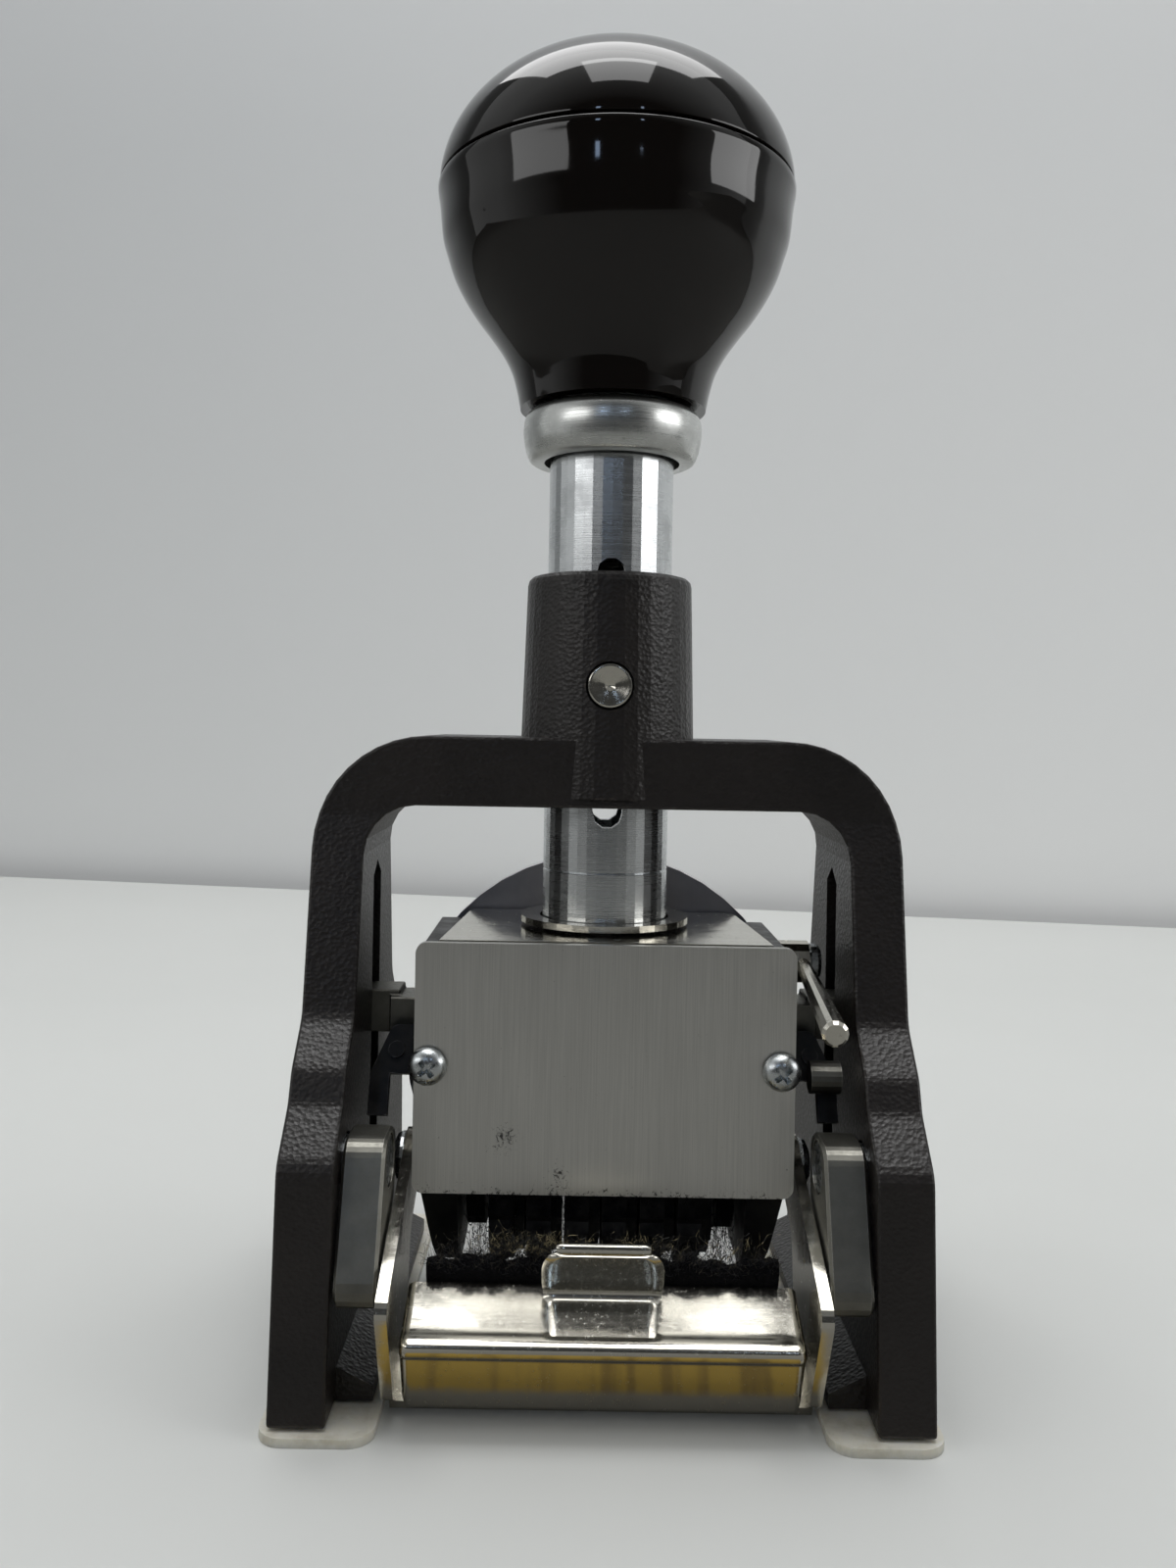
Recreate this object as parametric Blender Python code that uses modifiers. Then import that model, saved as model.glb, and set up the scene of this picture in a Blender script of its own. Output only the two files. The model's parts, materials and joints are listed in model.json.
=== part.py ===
"""Hand numbering machine with a sprung plunger, six number wheels and a swinging ink pad.

Metres, +Z up, +X to the operator's right, the operator at -Y. The origin lies on the paper, under
the plunger's axis. The plunger is drawn at half stroke, where its lock pin holds it: the ink pad
has swung out in front of the wheels and stands on edge, its felt facing back.
"""
import math

import bmesh
import bpy
from mathutils import Matrix, Vector

PART_NAME = "numbering_machine"

# Shared clearances and facets
seat_gap = 0.0003
running_gap = 0.0002
hinge_gap = 0.00025
cut_overrun = 0.0020
weld_distance = 0.000001
round_segments = 40
small_segments = 20
hidden_segments = 12
screw_segments = 14
flange_segments = 32
arc_steps = 5
wide_arc_steps = 10
small_arc_steps = 3
bend_arc_steps = 2
hub_arc_steps = 12
dome_steps = 9
smooth_angle = math.radians(32)

# Frame
frame_half_width = 0.0311
frame_leg_thickness = 0.0055
frame_arm_top = 0.0653
frame_arm_thickness = 0.0074
frame_outer_corner = 0.0120
frame_inner_corner = 0.0052
frame_edge_round = 0.0011
frame_ramp_blend = 0.0032
frame_neck_blend = 0.0055
frame_arm_half_depth = 0.0090
waist_top = 0.0570
waist_bottom = 0.0365
waist_half_depth = 0.0132
upper_ramp_bottom = 0.0322
upper_shoulder_half_depth = 0.0176
lower_ramp_top = 0.0292
lower_shoulder_half_depth = 0.0189
lower_ramp_bottom = 0.0246
foot_top_half_depth = 0.0236
base_half_depth = 0.0258
foot_flange_reach = 0.0036
foot_flange_edge = 0.0014
foot_flange_rise = 0.0032
foot_flange_half_length = 0.0205
foot_flange_sink = 0.0010

# Foot pads
foot_pad_thickness = 0.0009
foot_pad_proud = 0.0009
foot_pad_corner = 0.0025

# Sleeve, guide grooves and lock pin
sleeve_top = 0.0832
sleeve_top_radius = 0.0092
sleeve_bottom_radius = 0.00985
sleeve_lip = 0.0010
sleeve_foot_sink = 0.0010
groove_width = 0.0052
groove_depth = 0.0018
groove_bottom = 0.0070
groove_shoulder = 0.0496
groove_point = 0.0512
lock_pin_drop = 0.0123
lock_pin_radius = 0.00125
lock_head_radius = 0.00235
lock_head_thickness = 0.0016
lock_head_proud = 0.0003
lock_head_chamfer = 0.0003
lock_dimple_radius = 0.0006
lock_dimple_depth = 0.0004
lock_dish_depth = 0.0003
lock_pin_travel = 0.0020
lock_button_thickness = 0.0014

# Plunger tube, its slot and its ends
tube_radius = 0.00695
tube_wall = 0.00165
tube_top = 0.1088
turned_line_height = 0.0507
turned_line_half_width = 0.00015
turned_line_depth = 0.00015
slot_bottom = 0.0556
slot_top = 0.08475
slot_width = 0.0032
lock_hole_radius = 0.0024
flange_radius = 0.0094
flange_thickness = 0.0007
flange_rim_rise = 0.0001
tube_foot_length = 0.0072
tube_plug_length = 0.0052
return_wire_radius = 0.00055
return_coil_radius = 0.0041
return_coil_turns = 12
return_coil_points = 9
return_end_turns = 1.25

# Collar and knob
collar_radius = 0.0100
collar_bottom = 0.0961
collar_top = 0.1017
knob_radius = 0.0200
knob_seam = 0.1263
knob_neck_radius = 0.0104
knob_cap_height = 0.0150
knob_wall = 0.0030
knob_boss_thickness = 0.0030
knob_floor_share = 0.5
knob_hollow_low_share = 0.25
knob_hollow_high_share = 0.4
cap_step = 0.00015
cap_wall = 0.0026
cap_spigot_length = 0.0030
cap_spigot_wall = 0.0015
knob_screw_radius = 0.0015
knob_screw_head_radius = 0.0030
knob_screw_head_height = 0.0018
knob_screw_length = 0.0085
# Radius as a share of the knob's radius, height as a share of the neck-to-seam rise
knob_profile_shares = (
    (0.985, 0.900), (0.969, 0.777), (0.942, 0.698), (0.905, 0.608), (0.850, 0.520),
    (0.782, 0.435), (0.698, 0.345), (0.625, 0.258), (0.572, 0.172), (0.541, 0.083),
)
# Radius as a share of the collar's radius, height as a share of its height, downwards
collar_profile_shares = (
    (0.890, 1.00), (0.955, 0.93), (0.992, 0.78), (1.000, 0.58), (0.985, 0.34), (0.945, 0.14),
    (0.890, 0.00),
)

# Casing: cheeks, top, bridge and bars
casing_top_height = 0.0444
casing_top_thickness = 0.0008
casing_top_front_half_width = 0.0172
casing_top_rear_half_width = 0.0156
casing_edge_round = 0.0007
casing_front = 0.0125
casing_rear = 0.0097
cheek_inner = 0.0150
cheek_outer = 0.0192
cheek_foot_radius = 0.0082
cheek_waist = 0.0228
cheek_waist_round = 0.0030
cheek_foot_round = 0.0064
cheek_taper_top = 0.0200
cheek_taper_run = 0.0020
bridge_front = 0.0080
bridge_rear = 0.0060
bridge_height = 0.0057
tie_bar_radius = 0.0013
tie_bar_height = 0.0354
tie_bar_front = 0.0074
tie_bar_rear = 0.0065
plunger_screw_radius = 0.0020
plunger_screw_head_radius = 0.0034
plunger_screw_head_height = 0.0018
plunger_screw_socket_radius = 0.0014

# Nameplate, left bare, and its screws
plate_half_width = 0.01945
plate_bottom = 0.0188
plate_top = 0.0443
plate_thickness = 0.0010
plate_corner = 0.0011
plate_screw_offset = 0.0180
plate_screw_height = 0.0318
plate_screw_radius = 0.00075
plate_screw_length = 0.0046
plate_screw_head_radius = 0.00195
plate_screw_head_height = 0.0013
cross_recess_width = 0.0006
cross_recess_length = 0.0020
cross_recess_depth = 0.0006
# Radius as a share of the head's radius, height as a share of its height
pan_head_shares = ((0.45, 0.97), (0.80, 0.80), (0.97, 0.45), (1.0, 0.0))

# Rear dial plate, its pointer and screws
dial_radius = 0.0233
dial_centre_height = 0.0279
dial_thickness = 0.0012
dial_bottom = 0.0125
dial_skirt_half_width = 0.0180
dial_skirt_corner = 0.0030
dial_skirt_meet_share = 0.333
dial_screw_offset = 0.0170
dial_screw_height = 0.0300
dial_notch_radius = 0.0150
dial_notch_hole = 0.0006
dial_notch_count = 7
dial_notch_step = math.radians(15)
dial_notch_segments = 8
dial_rim_steps = 28
pointer_hub_radius = 0.0038
pointer_length = 0.0150
pointer_tip_radius = 0.0016
pointer_thickness = 0.0010
pointer_pivot_radius = 0.0015
pointer_pivot_head_radius = 0.0026
pointer_pivot_head_height = 0.0012
pointer_knob_radius = 0.0017
pointer_knob_height = 0.0030
pointer_knob_shares = ((0.70, 1.0), (1.0, 0.8), (0.95, 0.45), (0.60, 0.2), (0.60, 0.0))
low_head_shares = ((0.80, 1.0), (1.0, 0.6), (1.0, 0.0))

# Number wheels on their shaft
shaft_height = 0.0166
shaft_radius = 0.0020
wheel_count = 6
wheel_pitch = 0.0040
wheel_width = 0.00375
wheel_radius = 0.0093
digit_count = 10
digit_groove_depth = 0.0007
digit_face_share = 0.62
type_ring_width = 0.0026
ratchet_tip_radius = 0.0084
ratchet_tooth_depth = 0.0011
ratchet_tooth_face_share = 0.12
ratchet_tooth_back_share = 0.5
ring_overlap = 0.0002

# Pawl rocker inside the casing
rocker_arm_inner = 0.0125
rocker_arm_thickness = 0.0020
rocker_hub_radius = 0.0058
rocker_reach = 0.0138
rocker_end_radius = 0.0019
rocker_lean = math.radians(15)
rocker_tie_radius = 0.0015
pawl_hub_wall = 0.0005
pawl_finger_width = 0.0006
pawl_finger_thickness = 0.0012
pawl_finger_step = 0.0003

# Detent springs of the wheels
detent_thickness = 0.0005
detent_top = 0.0370
detent_tip_share = 0.72
detent_slot_width = 0.0010
detent_root = 0.0040

# Guide lugs and side brackets
lug_bottom = 0.0323
lug_top = 0.0370
lug_play = 0.0003
lug_neck_half_depth = 0.0034
lug_neck_top = 0.0364
lug_neck_length = 0.0030
lug_neck_sink = 0.0010
lug_neck_step = 0.0003
lug_edge_round = 0.0003
bracket_thickness = 0.0010
bracket_bottom = 0.0250
bracket_top = 0.0345
bracket_leg_width = 0.0021
bracket_leg_gap = 0.0007
bracket_knee = 0.0293
bracket_rivet_radius = 0.0009
bracket_rivet_rise = 0.0004
bracket_rivet_height = 0.0318
bracket_front = 0.0086
bracket_lean = math.radians(24)
roller_radius = 0.0017
roller_height = 0.0300
roller_length = 0.0032

# Side lever with its tapered handle
side_pivot_back = 0.0015
side_pivot_height = 0.0402
side_boss_radius = 0.0024
side_boss_outer = 0.0232
side_stud_radius = 0.0013
side_stud_head_radius = 0.0021
side_stud_head_height = 0.0011
side_handle_root_sink = 0.0006
handle_root_radius = 0.0008
handle_tip_radius = 0.00130
handle_tip_chamfer = 0.0003
handle_root_offset = 0.0225
handle_tip_offset = 0.02135
handle_tip_forward = 0.0240
handle_tip_height = 0.0381

# Ink pad carrier: outlines are drawn with the pad level under the wheels, from the pivot
carrier_pivot_forward = 0.0062
carrier_pivot_height = 0.0200
carrier_tilt = math.radians(65)
carrier_arm_inner = 0.01975
carrier_arm_thickness = 0.00115
carrier_eye_radius = 0.0030
carrier_front_reach = 0.0035
carrier_rear_reach = 0.0116
carrier_depth = 0.0230
carrier_heel_depth = 0.0213
carrier_back_top = 0.0142
carrier_throat_depth = 0.0072
carrier_nose_round = 0.0016
carrier_heel_round = 0.0013
carrier_back_thickness = 0.0010
carrier_back_gap = 0.0003
carrier_back_bottom = 0.0214
carrier_stud_radius = 0.0015
carrier_stud_head_radius = 0.0026
carrier_stud_head_height = 0.0012
carrier_stud_depth = 0.0030
round_head_shares = ((0.60, 0.92), (0.92, 0.60), (1.0, 0.25), (1.0, 0.0))

# Ink pad tray and felt
tray_half_width = 0.0190
tray_front = 0.0017
tray_rear = 0.0100
tray_floor = 0.0224
tray_rim = 0.0150
tray_wall = 0.0005
tray_floor_thickness = 0.0009
tray_nose_round = 0.0014
tray_heel_round = 0.0008
tray_panel_depth = 0.00025
tray_panel_side = 0.0016
tray_panel_front = 0.0016
tray_panel_rear = 0.0007
tray_panel_corner = 0.0008
tab_root_half_width = 0.0054
tab_half_width = 0.0059
tab_tip_half_width = 0.0044
tab_corner = 0.0018
tab_thickness = 0.0007
tab_tip_forward = 0.0036
tab_bend_drop = 0.0160
tab_root_drop = 0.0213
tab_lip_radius = 0.0007
felt_half_width = 0.0173
felt_top = 0.0130
felt_corner = 0.0006

# Swing levers at the legs
lever_pivot_forward = 0.0168
lever_pivot_height = 0.0232
lever_inner = 0.0212
lever_pin_radius = 0.0024
lever_pin_depth = 0.0030
lever_top_front = 0.0202
lever_top = 0.0261
lever_bottom_front = 0.0258
lever_bottom = 0.0113
lever_bottom_back = 0.0198
lever_back = 0.0132
lever_back_height = 0.0196
lever_corner = 0.0022
lever_heel_round = 0.0044
lever_edge_round = 0.0003
link_forward = 0.0228
link_height = 0.0138
link_pin_radius = 0.0014

# Derived sizes
inner_half_width = frame_half_width - frame_leg_thickness
lock_pin_height = sleeve_top - lock_pin_drop
bracket_outer = inner_half_width - bracket_leg_gap
frame_bottom = foot_pad_thickness + seat_gap
arm_bottom = frame_arm_top - frame_arm_thickness
sleeve_bore_radius = tube_radius + running_gap
tube_bore_radius = tube_radius - tube_wall
tube_bottom = casing_top_height + seat_gap
cheek_top = casing_top_height - casing_top_thickness - seat_gap
plate_back = casing_front + seat_gap
plate_face = plate_back + plate_thickness
dial_front = casing_rear + seat_gap
dial_back = dial_front + dial_thickness
shaft_bore_radius = shaft_radius + hinge_gap
side_seat = cheek_outer + seat_gap
lever_outer = inner_half_width - seat_gap


def collection(name):
    made = bpy.data.collections.new(name)
    bpy.context.scene.collection.children.link(made)
    return made


def material(name, colour, roughness, metallic):
    made = bpy.data.materials.new(name)
    made.use_nodes = True
    shader = made.node_tree.nodes["Principled BSDF"]
    shader.inputs["Base Color"].default_value = (*colour, 1.0)
    shader.inputs["Roughness"].default_value = roughness
    shader.inputs["Metallic"].default_value = metallic
    return made


def black_knob_plastic():
    return material("knob_plastic", (0.018, 0.010, 0.008), 0.12, 0.0)


def brown_frame_paint():
    return material("frame_paint", (0.040, 0.030, 0.028), 0.55, 0.0)


def turned_aluminium():
    return material("turned_aluminium", (0.62, 0.63, 0.65), 0.28, 1.0)


def bright_nickel():
    return material("bright_nickel", (0.72, 0.69, 0.64), 0.12, 1.0)


def tumbled_steel():
    return material("tumbled_steel", (0.36, 0.35, 0.33), 0.42, 1.0)


def black_oxide():
    return material("black_oxide", (0.022, 0.022, 0.024), 0.42, 0.6)


def zinc_plate():
    return material("zinc_plate", (0.60, 0.63, 0.64), 0.25, 1.0)


def satin_dial():
    return material("satin_dial", (0.30, 0.28, 0.31), 0.45, 0.8)


def brushed_plate():
    return material("brushed_plate", (0.60, 0.59, 0.60), 0.40, 0.9)


def ink_felt():
    return material("ink_felt", (0.012, 0.011, 0.020), 0.95, 0.0)


def cream_rubber():
    return material("cream_rubber", (0.70, 0.66, 0.55), 0.60, 0.0)


def clear_scene():
    for old in list(bpy.data.objects):
        bpy.data.objects.remove(old, do_unlink=True)


def settle():
    bpy.context.view_layer.update()


def file_in(thing, group):
    for old in list(thing.users_collection):
        old.objects.unlink(thing)
    group.objects.link(thing)
    return thing


def baked(thing):
    """Replaces an object's curve or modifiers with the mesh that they make."""
    settle()
    graph = bpy.context.evaluated_depsgraph_get()
    mesh = bpy.data.meshes.new_from_object(thing.evaluated_get(graph), depsgraph=graph)
    work = bmesh.new()
    work.from_mesh(mesh)
    bmesh.ops.remove_doubles(work, verts=work.verts, dist=weld_distance)
    work.to_mesh(mesh)
    work.free()
    if thing.type == "MESH":
        thing.modifiers.clear()
        thing.data = mesh
        return thing
    made = bpy.data.objects.new(thing.name, mesh)
    group = thing.users_collection[0]
    made.matrix_world = thing.matrix_world.copy()
    group.objects.link(made)
    name = thing.name
    bpy.data.objects.remove(thing, do_unlink=True)
    made.name = name
    return made


# Which way an outline's plane and a turned piece's axis face
ACROSS = (math.pi / 2, 0.0, math.pi / 2)
FRONT = (math.pi / 2, 0.0, 0.0)
FLAT = (0.0, 0.0, 0.0)
TO_FRONT = (math.pi / 2, 0.0, 0.0)
TO_BACK = (-math.pi / 2, 0.0, 0.0)
TO_RIGHT = (0.0, math.pi / 2, 0.0)
TO_LEFT = (0.0, -math.pi / 2, 0.0)
UPRIGHT = (0.0, 0.0, 0.0)


def rounded(corners, steps=arc_steps, wide_steps=None):
    """An outline's points, with each corner (x, y, radius) rounded by an arc.

    Corners of the frame's outer radius and more take wide_steps, where that is given.
    """
    points = []
    count = len(corners)
    for i, (x, y, radius) in enumerate(corners):
        here = Vector((x, y))
        before = Vector(corners[i - 1][:2]) - here
        after = Vector(corners[(i + 1) % count][:2]) - here
        if radius <= 0:
            points.append((x, y))
            continue
        half = before.angle(after) / 2
        before.normalize()
        after.normalize()
        centre = here + (before + after).normalized() * (radius / math.sin(half))
        start = here + before * (radius / math.tan(half)) - centre
        end = here + after * (radius / math.tan(half)) - centre
        turn = start.angle_signed(end)
        count_here = wide_steps if wide_steps and radius >= frame_outer_corner else steps
        for k in range(count_here + 1):
            angle = -turn * k / count_here
            c, s = math.cos(angle), math.sin(angle)
            points.append((centre.x + start.x * c - start.y * s,
                           centre.y + start.x * s + start.y * c))
    return points


def circle(radius, x=0.0, y=0.0, count=small_segments):
    return [(x + radius * math.cos(2 * math.pi * k / count),
             y + radius * math.sin(2 * math.pi * k / count)) for k in range(count)]


def arc(radius, start, end, x=0.0, y=0.0, steps=arc_steps):
    return [(x + radius * math.cos(start + (end - start) * k / steps),
             y + radius * math.sin(start + (end - start) * k / steps))
            for k in range(steps + 1)]


def plate(name, loops, thickness, group, facing=ACROSS, at=(0.0, 0.0, 0.0)):
    """A flat piece from closed outlines, its thickness centred on the place given."""
    curve = bpy.data.curves.new(name, "CURVE")
    curve.dimensions = "2D"
    curve.fill_mode = "BOTH"
    curve.extrude = thickness / 2
    for loop in loops:
        spline = curve.splines.new("POLY")
        spline.points.add(len(loop) - 1)
        for point, (x, y) in zip(spline.points, loop):
            point.co = (x, y, 0.0, 1.0)
        spline.use_cyclic_u = True
    thing = bpy.data.objects.new(name, curve)
    group.objects.link(thing)
    thing.rotation_euler = facing
    thing.location = at
    settle()
    made = baked(thing)
    work = bmesh.new()
    work.from_mesh(made.data)
    bmesh.ops.dissolve_limit(
        work, angle_limit=math.radians(0.5), verts=work.verts, edges=work.edges)
    work.to_mesh(made.data)
    work.free()
    return made


def turned(name, profile, group, axis=UPRIGHT, at=(0.0, 0.0, 0.0), segments=round_segments,
           ring=False):
    """A turned piece. The profile (radius, height) runs down the outside; a ring's closes."""
    mesh = bpy.data.meshes.new(name)
    count = len(profile)
    edges = [(i, i + 1) for i in range(count - 1)]
    if ring:
        edges.append((count - 1, 0))
    mesh.from_pydata([(r, 0.0, z) for r, z in profile], edges, [])
    thing = bpy.data.objects.new(name, mesh)
    group.objects.link(thing)
    screw = thing.modifiers.new("turn", "SCREW")
    screw.axis = "Z"
    screw.angle = 2 * math.pi
    screw.steps = segments
    screw.render_steps = segments
    screw.use_merge_vertices = True
    screw.merge_threshold = weld_distance
    thing.rotation_euler = axis
    thing.location = at
    return baked(thing)


def cylinder(name, radius, length, group, axis=UPRIGHT, at=(0.0, 0.0, 0.0),
             segments=small_segments):
    """A plain round bar, centred on the place given."""
    bpy.ops.mesh.primitive_cylinder_add(vertices=segments, radius=radius, depth=length)
    thing = bpy.context.object
    thing.name = name
    file_in(thing, group)
    thing.rotation_euler = axis
    thing.location = at
    settle()
    return thing


def block(name, low, high, group):
    """A box between two corners."""
    bpy.ops.mesh.primitive_cube_add(size=1.0)
    thing = bpy.context.object
    thing.name = name
    file_in(thing, group)
    size = [b - a for a, b in zip(low, high)]
    middle = [(a + b) / 2 for a, b in zip(low, high)]
    thing.data.transform(Matrix.Diagonal((*size, 1.0)))
    thing.location = middle
    settle()
    return thing


def hide(tool):
    tool.hide_render = True
    tool.display_type = "WIRE"


def combine(thing, tool, operation):
    settle()
    change = thing.modifiers.new(operation.lower(), "BOOLEAN")
    change.operation = operation
    change.solver = "EXACT"
    change.object = tool
    hide(tool)
    baked(thing)
    return thing


def cut(thing, *tools):
    for tool in tools:
        combine(thing, tool, "DIFFERENCE")
    return thing


def join(thing, *tools):
    for tool in tools:
        combine(thing, tool, "UNION")
    return thing


def bevelled(thing, width, segments=2, angle=math.radians(40)):
    edge = thing.modifiers.new("edge", "BEVEL")
    edge.width = width
    edge.segments = segments
    edge.limit_method = "ANGLE"
    edge.angle_limit = angle
    return baked(thing)


def finished(thing, finish):
    thing.data.materials.clear()
    thing.data.materials.append(finish)
    thing.data.shade_smooth()
    thing.data.set_sharp_from_angle(angle=smooth_angle)
    return thing


def mirrored_sides(build):
    """Builds a left and a right piece: side is -1 at the operator's left."""
    for side, word in ((-1, "left"), (1, "right")):
        build(side, word)


def axis_empty(name, at, group, turn=(0.0, 0.0, 0.0)):
    empty = bpy.data.objects.new(name, None)
    group.objects.link(empty)
    empty.location = at
    empty.rotation_euler = turn
    settle()
    return empty


def hang(thing, empty):
    """Parents a piece that was drawn in the empty's own frame."""
    thing.parent = empty
    settle()
    return thing


def origin_on(thing, point):
    """Moves a piece's origin to a point without moving the piece."""
    settle()
    shift = thing.matrix_world.inverted() @ Vector(point)
    thing.data.transform(Matrix.Translation(-shift))
    thing.matrix_world = thing.matrix_world @ Matrix.Translation(shift)
    settle()
    return thing


def between(low, high):
    return (low + high) / 2


# Frame

def leg_side_outline():
    """The legs seen from the side: narrow above, two ramps, a long foot."""
    half = [
        (base_half_depth, 0.0),
        (foot_top_half_depth, lower_ramp_bottom),
        (lower_shoulder_half_depth, lower_ramp_top),
        (upper_shoulder_half_depth, upper_ramp_bottom),
        (waist_half_depth, waist_bottom),
        (frame_arm_half_depth, waist_top),
        (frame_arm_half_depth, frame_arm_top + cut_overrun),
    ]
    blend = frame_ramp_blend
    rounds = [0.0, blend, blend, blend, blend, frame_neck_blend, 0.0]
    front = [(-y, z, r) for (y, z), r in zip(half, rounds)]
    back = [(y, z, r) for (y, z), r in zip(reversed(half), reversed(rounds))]
    return rounded(front + back, small_arc_steps)


def arch_outline():
    w, t = frame_half_width, inner_half_width
    return rounded([
        (-w, frame_bottom, 0.0), (-w, frame_arm_top, frame_outer_corner),
        (w, frame_arm_top, frame_outer_corner), (w, frame_bottom, 0.0),
        (t, frame_bottom, 0.0), (t, arm_bottom, frame_inner_corner),
        (-t, arm_bottom, frame_inner_corner), (-t, frame_bottom, 0.0),
    ], wide_steps=wide_arc_steps)


def sleeve_profile():
    r, lip = sleeve_top_radius, sleeve_lip
    lip_arc = arc(lip, math.pi / 2, 0.0, r - lip, sleeve_top - lip, small_arc_steps)
    return ([(0.0, sleeve_top)] + lip_arc
            + [(sleeve_bottom_radius, arm_bottom + sleeve_foot_sink),
               (0.0, arm_bottom + sleeve_foot_sink)])


def groove_outline():
    half = groove_width / 2
    return [(-half, groove_bottom), (half, groove_bottom), (half, groove_shoulder),
            (0.0, groove_point), (-half, groove_shoulder)]


def foot_flange_outline(side):
    root = inner_half_width + foot_flange_sink
    tip = inner_half_width - foot_flange_reach
    top = frame_bottom + foot_flange_rise
    return [(side * root, frame_bottom), (side * root, top),
            (side * inner_half_width, top),
            (side * tip, frame_bottom + foot_flange_edge), (side * tip, frame_bottom)]


def build_frame(parts, tools, finish):
    depth = 2 * (base_half_depth + cut_overrun)
    frame = plate("frame", [arch_outline()], depth, parts, FRONT)
    side_view = plate("leg_side_shape", [leg_side_outline()],
                      2 * (frame_half_width + cut_overrun), tools)
    combine(frame, side_view, "INTERSECT")
    bevelled(frame, frame_edge_round)
    join(frame, turned("sleeve_shape", sleeve_profile(), tools))
    for side in (-1, 1):
        flange = plate("foot_flange_shape", [foot_flange_outline(side)],
                       2 * foot_flange_half_length, tools, FRONT)
        join(frame, flange)
    bore_length = sleeve_top - arm_bottom + 4 * cut_overrun
    cut(frame, cylinder("sleeve_bore", sleeve_bore_radius, bore_length, tools,
                        at=(0.0, 0.0, between(arm_bottom, sleeve_top)),
                        segments=round_segments))
    cut(frame, cylinder("lock_pin_bore", lock_pin_radius + hinge_gap,
                        4 * sleeve_bottom_radius, tools, TO_FRONT,
                        (0.0, 0.0, lock_pin_height)))
    seat_depth = lock_head_front() - lock_head_thickness - seat_gap
    counterbore_end = sleeve_bottom_radius + cut_overrun
    cut(frame, cylinder("lock_head_seat", lock_head_radius + hinge_gap,
                        counterbore_end - seat_depth, tools, TO_FRONT,
                        (0.0, -between(seat_depth, counterbore_end), lock_pin_height)))
    for side in (-1, 1):
        middle = side * (inner_half_width + groove_depth / 2 - cut_overrun / 2)
        cut(frame, plate("guide_groove", [groove_outline()], groove_depth + cut_overrun,
                         tools, ACROSS, (middle, 0.0, 0.0)))
        hole_depth = lever_pin_depth + seat_gap
        hole_middle = inner_half_width + hole_depth / 2 - cut_overrun / 2
        cut(frame, cylinder("lever_pin_hole", lever_pin_radius + seat_gap,
                            hole_depth + cut_overrun, tools, TO_RIGHT,
                            (side * hole_middle, -lever_pivot_forward,
                             lever_pivot_height)))
    finished(frame, finish)


def build_foot_pads(parts, finish):
    def one(side, word):
        inner = inner_half_width - foot_flange_reach - foot_pad_proud
        outer = frame_half_width + foot_pad_proud
        half = base_half_depth + foot_pad_proud
        c = foot_pad_corner
        outline = rounded([(side * inner, -half, c), (side * outer, -half, c),
                           (side * outer, half, c), (side * inner, half, c)][::side])
        pad = plate("foot_pad_" + word, [outline], foot_pad_thickness, parts, FLAT,
                    (0.0, 0.0, foot_pad_thickness / 2))
        finished(pad, finish)

    mirrored_sides(one)


# Lock pin

def lock_head_front():
    share = (sleeve_top - lock_pin_height) / (sleeve_top - arm_bottom)
    radius = sleeve_top_radius + (sleeve_bottom_radius - sleeve_top_radius) * share
    return radius + lock_head_proud


def build_lock_pin(parts, finish):
    front = lock_head_front()
    back = front + lock_pin_travel + lock_button_thickness
    head_back = front - lock_head_thickness
    profile = [
        (0.0, front - lock_dish_depth - lock_dimple_depth),
        (lock_dimple_radius, front - lock_dish_depth),
        (lock_head_radius - lock_head_chamfer, front),
        (lock_head_radius, front - lock_head_chamfer),
        (lock_head_radius, head_back), (lock_pin_radius, head_back),
        (lock_pin_radius, -back), (0.0, -back),
    ]
    pin = turned("lock_pin", profile, parts, TO_FRONT, (0.0, 0.0, lock_pin_height),
                 small_segments)
    finished(pin, finish)
    button_front = front + lock_pin_travel
    r = lock_pin_radius + seat_gap
    ring = [
        (lock_head_radius - lock_head_chamfer, back), (lock_head_radius, back - lock_head_chamfer),
        (lock_head_radius, button_front), (r, button_front), (r, back),
    ]
    button = turned("lock_pin_ring", ring, parts, TO_BACK, (0.0, 0.0, lock_pin_height),
                    small_segments, ring=True)
    finished(button, finish)


# Plunger

def build_tube(parts, tools, finish):
    r, b = tube_radius, tube_bore_radius
    line, half = turned_line_height, turned_line_half_width
    profile = [
        (r, tube_top), (r, line + half), (r - turned_line_depth, line), (r, line - half),
        (r, tube_bottom), (b, tube_bottom), (b, tube_top),
    ]
    tube = turned("plunger_tube", profile, parts, ring=True)
    half = slot_width / 2
    low, high = slot_bottom + half, slot_top - half
    outline = (arc(half, 0.0, math.pi, 0.0, high) + arc(half, math.pi, 2 * math.pi, 0.0, low))
    cut(tube, plate("tube_slot", [outline], 4 * r, tools, FRONT))
    cut(tube, cylinder("lock_hole", lock_hole_radius, 4 * r, tools, TO_FRONT,
                       (0.0, 0.0, lock_pin_height)))
    finished(tube, finish)


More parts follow.
